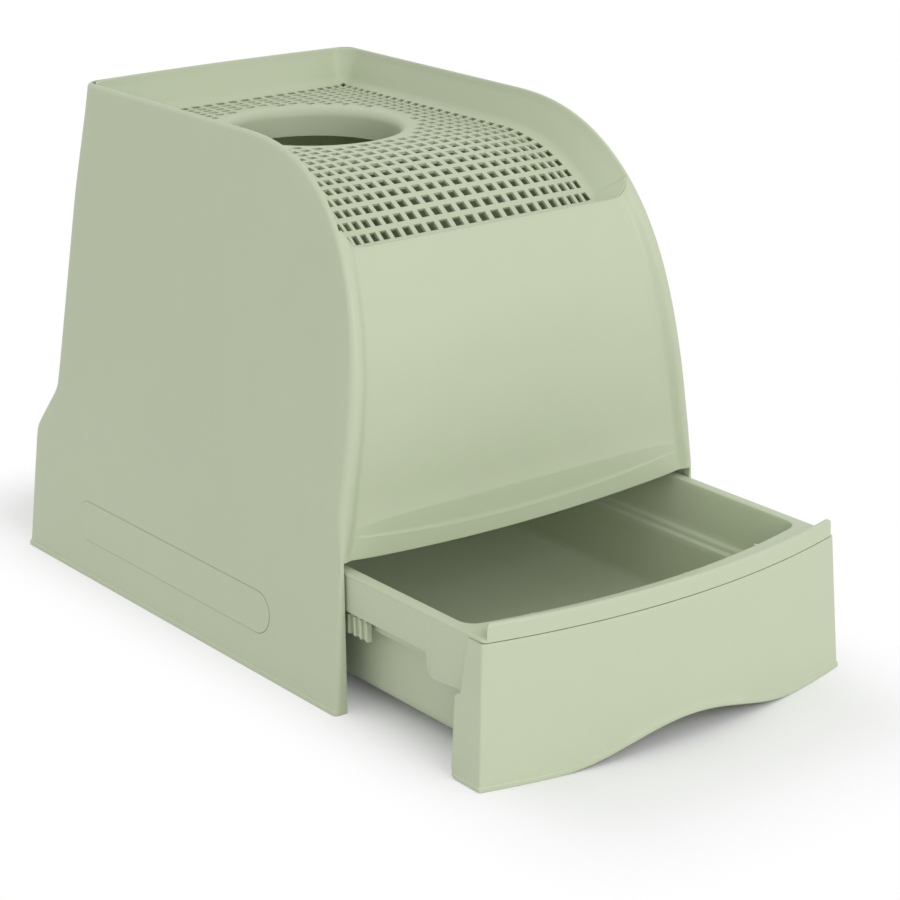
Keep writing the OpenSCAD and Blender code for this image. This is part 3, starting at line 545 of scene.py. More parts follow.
def foot_outline():
    """Half the rounded rectangle at the foot of the walls, in the sheet, from the middle of the
    front round to the middle of the back."""
    turn_front, turn_back = quarter(19), quarter(9)
    x_front, s_front = FOOT_X - FOOT_FRONT_R, FOOT_FRONT - FOOT_FRONT_R
    x_back, s_back = FOOT_X - FOOT_BACK_R, FOOT_BACK + FOOT_BACK_R
    side = np.linspace(s_front, s_back, 120)[1:-1]
    return np.concatenate([
        stacked(x_front * np.linspace(0, 1, 30)[:-1], FOOT_FRONT),
        stacked(x_front + FOOT_FRONT_R * np.sin(turn_front), s_front + FOOT_FRONT_R * np.cos(turn_front)),
        stacked(FOOT_X, side),
        stacked(x_back + FOOT_BACK_R * np.cos(turn_back), s_back - FOOT_BACK_R * np.sin(turn_back)),
        stacked(x_back * np.linspace(1, 0, 30)[1:], FOOT_BACK)])


def wall_top(foot):
    """The wall's upper end over each point of its foot, as a place in the sheet and a height over
    it: inside the hood's rim at the sides and back, and along the hood's seam at the front."""
    table_s, reach, top_x = rim_table()
    run = np.gradient(foot, axis=0)
    out = unit(stacked(-run[:, 1], run[:, 0]))
    out = out * np.sign(out[1, 1])
    out[0], out[-1] = (0, 1), (0, -1)
    out_side = np.interp(foot[:, 1], table_s, top_x) - FOOT_X
    out_back = back_y(BODY_H) - WALL - RIM_GAP - (PROFILE_Y - FOOT_BACK)
    sideways = out[:, 0] ** 2
    crest = foot + out * (out_side * sideways + out_back * (1 - sideways))[:, None]
    at_back = foot[:, 1] < FOOT_BACK + 1e-6
    crest[at_back, 1] -= BACK_BOW * (1 - (foot[at_back, 0] / (FOOT_X - FOOT_BACK_R)) ** 2)
    lift = np.interp(crest[:, 1], table_s, reach)

    # the front takes the seam's line, stretched to where that meets the rim
    seam = HoodForm().front_wall()[-1, ::-1]
    dy, dz = BEND[0] - seam[:, 1], seam[:, 2] - BEND[1]
    seam_s, seam_n = LEVEL_RUN + np.arctan2(dy, dz) * DECK_R, np.hypot(dy, dz) - DECK_R
    last_x = np.interp(seam_s[-1], table_s, top_x)
    past = foot[:, 0] - (FOOT_X - FOOT_FRONT_R)
    front = (foot[:, 1] > FOOT_FRONT - FOOT_FRONT_R - 1) & ((out[:, 1] > 0.02) | (past <= 0))
    stretch = (last_x - FOOT_X + FOOT_FRONT_R) / FOOT_FRONT_R
    far_x = (foot[:, 0] + np.maximum(past, 0) * (stretch - 1))[front]
    crest[front, 0] = far_x
    crest[front, 1] = np.interp(far_x, seam[:, 0], seam_s) - RIM_GAP
    lift[front] = np.interp(far_x, seam[:, 0], seam_n)

    # the sides' stations are drawn towards the seam's upper end
    side = ~front & (foot[:, 1] >= FOOT_BACK + 30)
    top_s, low_s = crest[front, 1][-1], foot[front, 1][-1]
    pulled = crest[side, 1] + (top_s - low_s) * ease((crest[side, 1] - low_s) / SIDE_PULL + 1)
    crest[side] = stacked(np.interp(pulled, table_s, top_x), pulled)
    lift[side] = np.interp(pulled, table_s, reach)
    return crest, lift


def deck_wall():
    """The wall round the deck as a grid: the upper part of its fillet, a straight rise and a small
    lip turned inwards. Also where the fillet starts in the sheet, and the way out from there."""
    foot = foot_outline()
    crest, lift = wall_top(foot)
    span = crest - foot
    go = np.linalg.norm(span, axis=1)
    way = span / go[:, None]
    slope = np.arctan2(lift, go)
    tangent = FILLET * np.tan(slope / 2)
    start = foot - way * tangent[:, None]
    turns = SHEET_TURN + (slope - SHEET_TURN)[:, None] * np.linspace(0, 1, 8)
    d_arc, n_arc = FILLET * np.sin(turns), FILLET * (1 - np.cos(turns))
    d_top, n_top = (tangent + go)[:, None], lift[:, None]
    k = np.linspace(0, 1, 7)[1:-1]
    d_rise = d_arc[:, -1:] + (d_top - d_arc[:, -1:]) * k
    n_rise = n_arc[:, -1:] + (n_top - n_arc[:, -1:]) * k
    lip = np.radians([20, 50, 90])
    d = np.concatenate([d_arc, d_rise, d_top - LIP_R * np.cos(lip)], axis=1)
    n = np.concatenate([n_arc, n_rise, n_top - LIP_R * (1 - np.sin(lip))], axis=1)
    place = start[:, None, :] + way[:, None, :] * d[..., None]
    return start, way, on_deck(place[..., 0], place[..., 1], n)


def deck_holes(edge):
    """Centres and half sizes of the square holes, without those that the entry takes. A hole
    close to the sheet's edge is narrower."""
    us = np.linspace(-1, 1, HOLE_COLS)
    step = 2 / (HOLE_COLS - 1)
    half_x = HOLE_SHARE * (col_x(us + step / 2) - col_x(us - step / 2)) / 2
    holes = []
    for row in range(HOLE_ROWS):
        s = row_s(row) + BACK_ROW
        half_s = HOLE_SHARE * (row_s(row + 0.5) - row_s(row - 0.5)) / 2
        edge_x = np.interp(s, edge[::-1, 1], edge[::-1, 0])
        for x, half in zip(col_x(us), half_x):
            if np.hypot(x, s - ENTRY_S) < CREST_R + ENTRY_GAP + half_s:
                continue
            if abs(x) + half > edge_x - EDGE_GAP:
                half = half * NARROWER
            holes.append((np.array([x, s]), np.array([half, half_s])))
    return holes


def between_holes():
    """Plain points between the holes, which keep the triangles small on the bend."""
    x, s = col_x(np.linspace(-1, 1, HOLE_COLS)), row_s(np.arange(HOLE_ROWS)) + BACK_ROW
    last = s[-1]
    x, s = np.meshgrid((x[:-1] + x[1:]) / 2, cat((s[:-1] + s[1:]) / 2, last + 7))
    x, s = x.ravel(), s.ravel()
    clear = (np.hypot(x, s - ENTRY_S) > CREST_R + 2) & (np.abs(x) < 118)
    return stacked(x[clear], s[clear])


def inside(points, outline):
    """Which points lie inside a closed outline: those with an odd number of its edges on one side."""
    after = np.roll(outline, -1, axis=0)
    x, y = points[:, :1], points[:, 1:]
    crosses = (outline[:, 1] > y) != (after[:, 1] > y)
    rise = np.where(after[:, 1] == outline[:, 1], 1, after[:, 1] - outline[:, 1])
    at = outline[:, 0] + (y - outline[:, 1]) / rise * (after[:, 0] - outline[:, 0])
    return np.sum(crosses & (x < at), axis=1) % 2 == 1


def deck_sheet(start, way):
    """The perforated sheet: triangles between its outline, the entry and the holes, lifted round
    its edge by the lower part of the fillet."""
    edge = start + way * (FILLET * math.sin(SHEET_TURN))
    outline = np.concatenate([edge, (edge * [-1, 1])[::-1][1:-1]])
    turn = np.radians(np.arange(ENTRY_STEPS) * 360 / ENTRY_STEPS)
    circle = stacked(CREST_R * np.cos(turn), ENTRY_S + CREST_R * np.sin(turn))
    holes = deck_holes(edge)
    corners = np.array([[-1, -1], [1, -1], [1, 1], [-1, 1]])
    loops = [outline, circle] + [centre + corners * size for centre, size in holes]
    edges, base = [], 0
    for loop in loops:
        edges += [(base + i, base + (i + 1) % len(loop)) for i in range(len(loop))]
        base += len(loop)
    cloud = np.concatenate(loops + [between_holes()])
    flat, _, faces, _, _, _ = delaunay_2d_cdt([Vector(p) for p in cloud.tolist()], edges, [], 0, 1e-4)
    flat = np.array([tuple(v) for v in flat])
    faces = np.array([f for f in faces if len(f) == 3])
    middle = flat[faces].mean(axis=1)
    keep = np.hypot(middle[:, 0], middle[:, 1] - ENTRY_S) > CREST_R * 0.995
    for centre, size in holes:
        keep &= ~np.all(np.abs(middle - centre) < size, axis=1)
    faces = faces[keep & inside(middle, outline)]

    # the fillet's height, by distance out of the line where it starts
    right = stacked(np.abs(flat[:, 0]), flat[:, 1])
    near = np.linalg.norm(right[:, None, :] - start[None, :, :], axis=2).argmin(axis=1)
    out = np.sum((right - start[near]) * way[near], axis=1)
    out = np.clip(out, 0, FILLET * math.sin(SHEET_TURN))
    height = FILLET - np.sqrt(FILLET ** 2 - out ** 2)
    height[:len(outline)] = FILLET * (1 - math.cos(SHEET_TURN))
    sheet = on_deck(flat[:, 0], flat[:, 1], height)
    a, b = sheet[faces[:, 1]] - sheet[faces[:, 0]], sheet[faces[:, 2]] - sheet[faces[:, 0]]
    down = np.cross(a, b)[:, 2] <= 0
    faces[down] = faces[down][:, ::-1]
    return sheet, faces


def entry_collar():
    """The entry's collar: a quarter round that runs down into a short tube."""
    turn = np.radians(np.arange(ENTRY_STEPS) * 360 / ENTRY_STEPS)
    drop = quarter(9)
    rise = CREST_R - THROAT_R
    radius = cat(CREST_R - rise * np.sin(drop), THROAT_R, THROAT_R)[:, None]
    depth = cat(rise * (1 - np.cos(drop)), 17, COLLAR_H)[:, None]
    return stacked(radius * np.cos(turn), ENTRY_Y - radius * np.sin(turn), DECK_Z - depth)


def deck_skin():
    """The deck: the perforated sheet, the wall that rises from it to the hood's rim, and the
    entry's collar."""
    skin = Skin()
    start, way, wall = deck_wall()
    skin.grid(wall)
    skin.both_sides()
    skin.add(*deck_sheet(start, way))
    skin.grid(entry_collar(), wrap=True)
    return skin


# ---- the drawer's form ----

# the bow that rim, pan and front follow: radius, and y of its axis
BOW_R, BOW_Y = 697.0, 500.5
PAN_BACK, RIM_HALF, FLOOR_Z = 330.4, 183.5, 15.0
# the four posts behind the front: places across, and the height of their axes
POST_X, POST_Z = (-130.0, -130.0 / 3, 130.0 / 3, 130.0), 98.0
# the front: height, half width, how far its sides and its bow stand out at the foot
FRONT_H, FRONT_HALF, FRONT_OUT, FRONT_FLARE, FRONT_CORNER = 117.5, 185.4, 6.8, 7.5, 1.8
# the wave of its lower edge: half width, height, and the half width that it is drawn over
ARCH_HALF, ARCH_H, ARCH_ACROSS = 125.0, 20.0, 184.0
# bead over the front's lower edge: how far it stands out, and its height
FRONT_BEAD, FRONT_BEAD_H = 0.95, 4.2
# the front's returns: their rear edge low down with the radius at its foot, and from the step's
# height on, the rear edge there and how far it leans forward up to the top
RETURN_Y, RETURN_FOOT_R, RETURN_STEP_Z, RETURN_UPPER_Y, RETURN_LEAN = -142.5, 9.0, 69.0, -149.4, 4.5
# points along the front's bow, its corner and its return
BOW_N, TURN_N, RETURN_N = 40, 8, 7
# points along the pan's bow before the two that end its lip, and round its front corner
PAN_BOW_N, PAN_CORNER_N = 28, 8
# the step in the pan's side skirt, the stations round it, and shares of the rest of the side
STEP_Y, SIDE_START = -101.0, -141.3
SIDE_NEAR = STEP_Y - np.array([38.5, 35, 29, 21, 13, 9.5, 7, 5, 3.5, 2.3, 1.5, 1.0, 0.6, 0.2, -0.4])
SIDE_FAR = np.array([0.02, 0.05, 0.1, 0.16, 0.2, 0.3, 0.4, 0.5, 0.6, 0.7, 0.8, 0.9, 0.96])
# the skirt's lower edge: heights at distances before the step
SKIRT_BEFORE, SKIRT_Z = [45, 8.7, 4, 1.2, 0.2], [70.5, 67.5, 69, 73, 87]

# rail on a runner and root of a latch, each as two corners; then the brackets that the front is
# screwed to: distance behind the bow, half width, sheet, lower edge
UNDER_RIM = 118.7
RAIL = (159.6, 30.0, 60.4), (178.0, 290.9, 64.4)
LATCH_ROOT = (176.3, -15.6, 100.0), (178.5, 18.4, UNDER_RIM)
BRACKET_SET, BRACKET_HALF, BRACKET_T, BRACKET_Z = 15.0, 13.0, 2.4, 89.0

# The pan's rings: half width, distance behind the bow, height at the front and height at the
# side, corner radius. RIM_RINGS run from the rim's inner edge over gutter and lip. SKIRT_RINGS
# give the side's height over the skirt's lower edge.
RIM_RINGS = [
    (174.0, 33.1, 119.4, 119.4, 15), (174.5, 32.6, 120.5, 120.5, 15), (175.6, 31.4, 121.0, 121.0, 15),
    (178.5, 24, 121.2, 121, 14), (180.5, 17, 122.3, 121, 12), (181.5, 11, 124.8, 121, 10),
    (182.0, 7.5, 128.0, 121, 8), (182.4, 5.2, 131.2, 121, 7), (182.8, 4.0, 132.7, 121, 6),
    (183.2, 2.6, 133.3, 120.9, 5.5), (183.8, 1.2, 133.0, 120.6, 5), (184.3, 0.2, 132.0, 119.9, 4.6),
    (184.4, 0.0, 130.5, 119.2, 4.5), (184.4, 0.0, 124, 118.8, 4.5), (184.4, 0.0, 118.4, 118.4, 4.5),
    (184.1, 0.5, 118.0, 118.0, 4.4), (184.0, 2.0, 118.0, 117.9, 4.2), (183.9, 4, 118.4, 117.3, 5),
    (183.8, 10, 118.6, 116.8, 6)]
SKIRT_RINGS = [
    (183.7, 14, 118.6, 1.0, 6), (183.3, 18, 118.6, 0.25, 7), (182.4, 22, 118.6, 0.0, 8),
    (181.1, 24, 118.6, 0.0, 9)]
# level rings, with one height: down the outside from under the skirt, and up the inside
OUTSIDE_RINGS = [
    (181.1, 27, 118.6, 10), (176.4, 31, 118.6, 12), (174.6, 34.0, 104, 14), (172.5, 34.6, 88, 16),
    (172.5, 34.6, 76.2, 16), (171.8, 35.3, 75.1, 16), (163.0, 44.1, 75, 12), (162.2, 44.9, 74.5, 12),
    (162, 45.1, 73, 12), (162, 45.1, 45, 12), (162, 45.1, 24, 12), (161, 46.1, 19, 12),
    (158.5, 48.6, 16.2, 12), (155, 52.1, FLOOR_Z, 12), (148, 59, FLOOR_Z, 12)]
INSIDE_RINGS = [
    (140, 67, 17.4, 12), (149, 58, 17.5, 12), (153.5, 53.6, 18.6, 12), (156.6, 50.5, 21.6, 12),
    (158, 49.1, 27, 12), (158.7, 48.4, 48, 12), (159.2, 47.9, 70, 12), (159.4, 47.7, 74.2, 12),
    (160.0, 47.1, 75.2, 12), (163.6, 43.5, 76.0, 12), (164.1, 43.0, 76.4, 12), (164.5, 42.6, 79.6, 13),
    (165.0, 42.1, 80.2, 13), (168.4, 38.7, 81.0, 14), (168.9, 38.2, 81.6, 15), (169.2, 37.9, 86.5, 15),
    (171.2, 35.9, 103, 15), (173.4, 33.7, 117, 15)]


def bow_line(x, r=BOW_R):
    """y of the bow at an x."""
    return BOW_Y - np.sqrt(r * r - x * x)


def pan_line(half, ahead, rear, r):
    """One ring of the pan in plan, right half: along the bow, round the front corner, back along
    the side, round the rear corner and along the back. Every ring has the same number of points."""
    big = BOW_R - ahead
    cx, cy = half - r, BOW_Y - math.sqrt((big - r) ** 2 - (half - r) ** 2)
    x_t = cx * big / (big - r)
    x = cat(np.linspace(0, x_t - 1.6, PAN_BOW_N), x_t - 0.6, x_t)
    a = np.linspace(math.atan2(cy - BOW_Y, cx), 0, PAN_CORNER_N + 1)[1:]
    before = STEP_Y - 7
    near = SIDE_NEAR + (cy - SIDE_START) * np.clip((before - SIDE_NEAR) / (before - SIDE_START), 0, 1)
    y = cat(near, near[-1] + (rear - r - near[-1]) * SIDE_FAR)
    b = np.linspace(0, math.pi / 2, 9)
    return np.concatenate([stacked(x, bow_line(x, big)), stacked(cx + r * np.cos(a), cy + r * np.sin(a)),
                           stacked(half, y), stacked(half - r + r * np.cos(b), rear - r + r * np.sin(b)),
                           stacked(np.linspace(half - r, 0, 9)[1:], rear)])


def pan_ring(half, ahead, z_front, z_side, r, on_skirt=False):
    """One ring of the pan: its height at the front holds along the lip, or as far as the skirt's
    cut, and its height at the side from there on."""
    line = pan_line(half, ahead, PAN_BACK - (RIM_HALF - min(half, RIM_HALF)), r)
    if on_skirt:
        z_side = z_side + np.interp(line[:, 1], STEP_Y - np.array(SKIRT_BEFORE), SKIRT_Z)
        front = np.ones(PAN_BOW_N + 2 + PAN_CORNER_N)
    else:
        front = cat(np.ones(PAN_BOW_N), 0.985, 0.92)
    front = cat(front, np.zeros(len(line) - len(front)))
    return np.column_stack([line, front * z_front + (1 - front) * z_side])


def pan_skin():
    """The pan: one closed shell of rings. From the inner edge of its rim they run out over the
    gutter and lip at the front, or over the rim at the sides, down and under the skirt, along
    the outside to the floor, and back up the inside."""
    skin = Skin()
    outer = [pan_ring(*ring) for ring in RIM_RINGS] + [pan_ring(*ring, on_skirt=True) for ring in SKIRT_RINGS]
    outer += [pan_ring(half, ahead, z, z, r) for half, ahead, z, r in OUTSIDE_RINGS]
    inner = [pan_ring(half, ahead, z, z, r) for half, ahead, z, r in INSIDE_RINGS] + outer[:1]
    skin.grid(np.stack(outer))
    skin.grid(np.stack(inner))
    skin.cap(outer[-1])
    skin.cap(inner[0])
    skin.block(*RAIL)
    skin.block(*LATCH_ROOT)
    for x in POST_X[2:]:
        y, wall_y = bow_line(x) + BRACKET_SET, bow_line(x, BOW_R - 34.6) + 1
        skin.block((x - BRACKET_HALF, y, BRACKET_Z), (x + BRACKET_HALF, y + BRACKET_T, UNDER_RIM))
        for rib in (x - BRACKET_HALF, x + BRACKET_HALF - BRACKET_T):
            skin.block((rib, y + BRACKET_T, BRACKET_Z), (rib + BRACKET_T, wall_y, UNDER_RIM))
    skin.both_sides()
    return skin


def front_skin():
    """The drawer front: level lines round the bow, its rounded corners and the returns. The wave
    of the lower edge is half a cosine each way and fades out evenly upwards. The last few
    millimetres over the edge stand out as a bead."""
    above = np.array([0, 0.5, 1.2, 3.2, 4.0, 4.4, 4.8, 5.4, 8, 14, 24, 36, 48, 60])[:, None]
    fade, last = 70.0, above[-1]
    share = np.linspace(0, 1, 16)[1:, None]
    x_share = np.linspace(0, 1, BOW_N)
    bow, turned, returned = np.zeros(BOW_N), np.zeros(TURN_N), np.zeros(RETURN_N)
    arch = ARCH_H * (1 + np.cos(math.pi * np.clip(x_share * ARCH_ACROSS / ARCH_HALF, 0, 1))) / 2
    z_low = cat(arch, turned, returned)
    z = np.concatenate([z_low * (1 - above / fade) + above,
                        last + z_low * (1 - last / fade) * (1 - share) + (FRONT_H - last) * share])
    over = z - z_low
    bead = FRONT_BEAD * (1 - ease((over - FRONT_BEAD_H) / 0.6)) * ease((over + 0.4) / 1.4)
    half = FRONT_HALF + FRONT_OUT * (1 - z / FRONT_H) + bead
    big = BOW_R + FRONT_FLARE * (1 - z / FRONT_H) + bead
    cx = half - FRONT_CORNER
    cy = BOW_Y - np.sqrt((big - FRONT_CORNER) ** 2 - cx ** 2)
    x_bow = cx * big / (big - FRONT_CORNER) * cat(x_share, turned, returned)
    turn = np.arctan2(cy - BOW_Y, cx) * (1 - cat(bow, np.linspace(0, 1, TURN_N + 1)[1:], returned + 1))
    # the return's rear edge: rounded at the foot, and stepped forward over the skirt
    under = np.clip(RETURN_FOOT_R - z, 0, RETURN_FOOT_R)
    rear = RETURN_Y - RETURN_FOOT_R + np.sqrt(RETURN_FOOT_R ** 2 - under ** 2)
    rear = np.where(z > RETURN_STEP_Z, RETURN_UPPER_Y - RETURN_LEAN * (z - 75) / 38, rear)
    run = cat(bow, turned, np.linspace(0, 1, RETURN_N + 1)[1:])
    part = np.arange(len(z_low))
    on_bow, on_turn = part < BOW_N, part < BOW_N + TURN_N
    x = np.where(on_bow, x_bow, np.where(on_turn, cx + FRONT_CORNER * np.cos(turn), half))
    y = np.where(on_bow, BOW_Y - np.sqrt(big ** 2 - x_bow ** 2),
                 np.where(on_turn, cy + FRONT_CORNER * np.sin(turn), cy + (rear - cy) * run))
    skin = Skin()
    skin.grid(stacked(x, y, z))
    skin.both_sides()
    return skin


def post_skin():
    """The hollow screw posts behind the drawer front: rings round an axis along y."""
    skin = Skin()
    turn = np.radians(np.arange(0, 360, 20))
    radius = np.array([5.2, 4.6, 4.5, 4.5, 4.2, 2.1, 2.0])[:, None]
    for x in POST_X:
        y0, y1 = bow_line(x) + 1.5, bow_line(x) + 14.9
        y = cat(y0, y0 + 1.2, y0 + 3, y1 - 0.4, y1, y1, y0 + 2)[:, None]
        skin.grid(stacked(x + radius * np.cos(turn), y, POST_Z + radius * np.sin(turn)), wrap=True)
    return skin


# a latch tab: its plate, the four ribs' first place, span, half width and length, its tooth
TAB_X, TAB_Y, TAB_Z = (176.3, 178.5), (-21.0, 18.4), (67.0, 99.6)
RIB_N, RIB_FIRST, RIB_SPAN, RIB_HALF, RIB_OUT = 4, 1.4, 24.0, 1.2, 1.7
RIB_LEVELS, RIB_SCALE = [67.0, 67.3, 68.0, 69.2, 83.6, 84.0], [0.55, 0.8, 0.94, 1, 1, 0.9]
TOOTH_X, TOOTH_D, TOOTH_Z = 188.4, 6.0, 77.0


def latch_skin(side):
    """A latch tab: a plate with four finger ribs, each a rounded bar whose lower end is drawn in,
    and a tooth."""
    skin = Skin()
    (x0, x1), (y0, y1), (z0, z1) = TAB_X, TAB_Y, TAB_Z
    root = x1 - 0.4
    skin.block((x0, y0, z0), (x1, y1, z1))
    skin.block((root, y1 - TOOTH_D, z0), (TOOTH_X, y1, TOOTH_Z))
    arc = np.radians(np.linspace(-90, 90, 9))
    out = cat(0, x1 - root + RIB_OUT + RIB_HALF * np.cos(arc), 0)
    across = cat(-RIB_HALF, RIB_HALF * np.sin(arc), RIB_HALF)
    scale = np.array(RIB_SCALE)[:, None]
    for k in range(RIB_N):
        y = y0 + RIB_FIRST + RIB_SPAN * k / (RIB_N - 1)
        rings = stacked(root + out * scale, y + across * scale, np.array(RIB_LEVELS)[:, None])
        skin.grid(rings)
        skin.cap(rings[0])
        skin.cap(rings[-1])
    if side < 0:
        skin.flipped()
    return skin


# ---- materials ----

def math_method(operation, reflected=False):
    """A method of Value that adds a Math node for it and another value, which is written first
    where the method is reflected, as in 1 - mask."""
    def method(self, other):
        return self._math(operation, other, self) if reflected else self._math(operation, self, other)
    return method


class Value:
    """A shader value written as arithmetic: each operator adds its Math node."""

    def __init__(self, tree, socket):
        self.tree, self.socket = tree, socket

    def _math(self, operation, a, b=None):
        node = self.tree.nodes.new("ShaderNodeMath")
        node.operation = operation
        for slot, item in zip(node.inputs, (a, b)):
            if isinstance(item, Value):
                self.tree.links.new(item.socket, slot)
            elif item is not None:
                slot.default_value = item
        return Value(self.tree, node.outputs[0])

    __add__, __radd__ = math_method("ADD"), math_method("ADD", reflected=True)
    __sub__, __rsub__ = math_method("SUBTRACT"), math_method("SUBTRACT", reflected=True)
    __mul__, __rmul__ = math_method("MULTIPLY"), math_method("MULTIPLY", reflected=True)
    __truediv__ = math_method("DIVIDE")
    __pow__ = math_method("POWER")
    at_least = math_method("MAXIMUM")

    def __abs__(self):
        return self._math("ABSOLUTE", self)


class Recipe:
    """The node tree of a new material or world, added to one node at a time."""

    def __init__(self, owner):
        owner.use_nodes = True
        self.owner, self.tree = owner, owner.node_tree
        self.tree.nodes.clear()

    def node(self, kind, settings=None, numbered=None, **named):
        """Adds a node: its settings first, then values or links by the sockets' numbers or names."""
        node = self.tree.nodes.new(kind)
        for key, item in (settings or {}).items():
            setattr(node, key, item)
        sockets = {key.replace("_", " "): item for key, item in named.items()}
        for key, item in {**sockets, **(numbered or {})}.items():
            if isinstance(item, Value):
                item = item.socket
            if isinstance(item, bpy.types.NodeSocket):
                self.tree.links.new(item, node.inputs[key])
            else:
                node.inputs[key].default_value = item
        return node

    def value(self, node, output):
        """A node's output, to reckon with."""
        return Value(self.tree, node.outputs[output])

    def noise(self, where, scale, detail):
        """Noise from 0 to 1, at a place."""
        return self.value(self.node("ShaderNodeTexNoise", Vector=where, Scale=scale, Detail=detail), "Fac")

    def blend(self, factor, low, high):
        """A colour between two."""
        mix = self.node("ShaderNodeMix", {"data_type": "RGBA"}, {6: low, 7: high}, Factor=factor)
        return mix.outputs[2]

    def shader_blend(self, factor, low, high):
        """A shader between two."""
        return self.node("ShaderNodeMixShader", None, {1: low.outputs[0], 2: high.outputs[0]}, Fac=factor)

    def looked_at(self):
        """1 for the rays that show a background: straight, mirrored and seen through."""
        rays = self.node("ShaderNodeLightPath")
        seen = self.value(rays, "Is Camera Ray")
        for kind in ("Is Glossy Ray", "Is Transmission Ray"):
            seen = seen.at_least(self.value(rays, kind))
        return seen


def linear(colour):
    """A display colour from 0 to 255 as the linear one that shaders take."""
    c = np.asarray(colour, float) / 255
    return tuple(np.where(c <= 0.04045, c / 12.92, ((c + 0.055) / 1.055) ** 2.4)) + (1.0,)


# the side plates' outline in metres: middle, half straight run and radius; the gap's width
PLATE_Y, PLATE_Z = (251.5 - ORIGIN_Y) * MM, 0.053
PLATE_RUN, PLATE_R, GAP_W = 0.13547, 0.01825, 0.0006
# painted shade: the colour of the shade in the gap round the side plates
GAP_SHADE_COLOUR = (0.09, 0.1, 0.05, 1)


def plate_gap_shade(r, where):
    """Painted shade in the gap round a side plate: a dark line, 1 where the distance to the plate's straight
    middle line is its radius, fading to 0 within the gap's width, and deeper at the bottom, where the painted
    shade falls deeper."""
    axes = r.node("ShaderNodeSeparateXYZ", Vector=where)
    along = (abs(r.value(axes, "Y") - PLATE_Y) - PLATE_RUN).at_least(0)
    up = r.value(axes, "Z") - PLATE_Z
    far = (along * along + up * up) ** 0.5
    line = (1 - abs(far - PLATE_R) / GAP_W).at_least(0)
    # painted shade: darker towards the bottom of the gap
    return line * (0.62 - up * 11)


def moulded_plastic(name, gap=False):
    """Satin moulded plastic: broad, faint changes of tone, and a fine spark-eroded grain in bump
    and gloss. With gap, painted shade is drawn in as a dark line in the gap round the side plates."""
    s = settings()
    r = Recipe(bpy.data.materials.new(name))
    where = r.node("ShaderNodeTexCoord").outputs["Object"]
    broad, cloud, fine = r.noise(where, 3.2, 2.0), r.noise(where, 26.0, 3.0), r.noise(where, 1400.0, 1.0)
    pale = tuple(min(1.0, c * 1.05) for c in s.plastic) + (1.0,)
    deep = tuple(c * 0.95 for c in s.plastic) + (1.0,)
    tone = 0.5 + (broad - 0.5) * 0.7 + (cloud - 0.5) * 0.35 + (fine - 0.5) * 0.2
    shade = r.blend(tone, deep, pale)
    # painted shade: a dark line in the gap round the side plates
    if gap:
        shade = r.blend(plate_gap_shade(r, where), shade, GAP_SHADE_COLOUR)
    bump = r.node("ShaderNodeBump", Strength=0.35, Distance=0.00004, Height=fine)
    gloss = s.roughness + (cloud - 0.5) * 0.10 + (fine - 0.5) * 0.06
    shader = r.node("ShaderNodeBsdfPrincipled", Base_Color=shade, Roughness=gloss, IOR=1.46,
                    Specular_IOR_Level=0.42, Normal=bump.outputs["Normal"])
    r.node("ShaderNodeOutputMaterial", Surface=shader.outputs["BSDF"])
    return r.owner


def plated_steel(name):
    """Zinc-plated screw steel: fine streaks in tone and gloss."""
    r = Recipe(bpy.data.materials.new(name))
    streak = r.noise(r.node("ShaderNodeTexCoord").outputs["Object"], 600.0, 3.0)
    shade = r.blend(streak, (0.42, 0.42, 0.41, 1), (0.66, 0.66, 0.64, 1))
    shader = r.node("ShaderNodeBsdfPrincipled", Base_Color=shade, Metallic=1.0,
                    Roughness=0.3 + streak * 0.2)
    r.node("ShaderNodeOutputMaterial", Surface=shader.outputs["BSDF"])
    return r.owner


def studio_paper(name):
    """The floor's pale paper. Where it is looked at, it is a little paler, and away from the
    object it opens into plain white."""
    r = Recipe(bpy.data.materials.new(name))
    where = r.node("ShaderNodeTexCoord").outputs["Object"]
    tooth = r.noise(where, 60.0, 2.0)
    bump = r.node("ShaderNodeBump", Strength=0.05, Distance=0.0002, Height=tooth).outputs["Normal"]
    paper = r.node("ShaderNodeBsdfDiffuse", Color=tuple(settings().floor) + (1.0,), Normal=bump)
    clean = r.node("ShaderNodeBsdfDiffuse", Color=(0.95, 0.95, 0.96, 1), Normal=bump)
    glow = r.node("ShaderNodeEmission", Color=(1, 1, 1, 1), Strength=1.0)
    axes = r.node("ShaderNodeSeparateXYZ", Vector=where)

    def far_out(axis, start, end):
        """0 within a distance of the middle along one axis, rising smoothly to 1."""
        ramp = r.node("ShaderNodeMapRange", {"interpolation_type": "SMOOTHSTEP"},
                      Value=abs(r.value(axes, axis)), From_Min=start, From_Max=end)
        return r.value(ramp, "Result")

    far = 1 - (1 - far_out("X", 0.12, 0.27)) * (1 - far_out("Y", 0.40, 0.56))
    seen = r.looked_at()
    mixed = r.shader_blend(far * seen, r.shader_blend(seen, paper, clean), glow)
    r.node("ShaderNodeOutputMaterial", Surface=mixed.outputs[0])
    return r.owner


def studio_world(name):
    """Even light all round, and white where it is looked at."""
    r = Recipe(bpy.data.worlds.new(name))
    dome = r.node("ShaderNodeBackground", Color=(1, 1, 1, 1), Strength=settings().dome)
    white = r.node("ShaderNodeBackground", Color=(1, 1, 1, 1), Strength=1.0)
    mixed = r.shader_blend(r.looked_at(), dome, white)
    r.node("ShaderNodeOutputWorld", Surface=mixed.outputs[0])
    return r.owner


def wear(obj, material):
    """Gives an object one material."""
    obj.data.materials.clear()
    obj.data.materials.append(material)


# ---- the studio ----

# camera: place and aim in the frame, focal length in millimetres on a 36 mm sensor
CAMERA_AT = Vector((-1.3088, -1.7130, 0.8871))
CAMERA_AIM = Vector((-0.0005, -0.0443, 0.1570))
LENS = 104.8
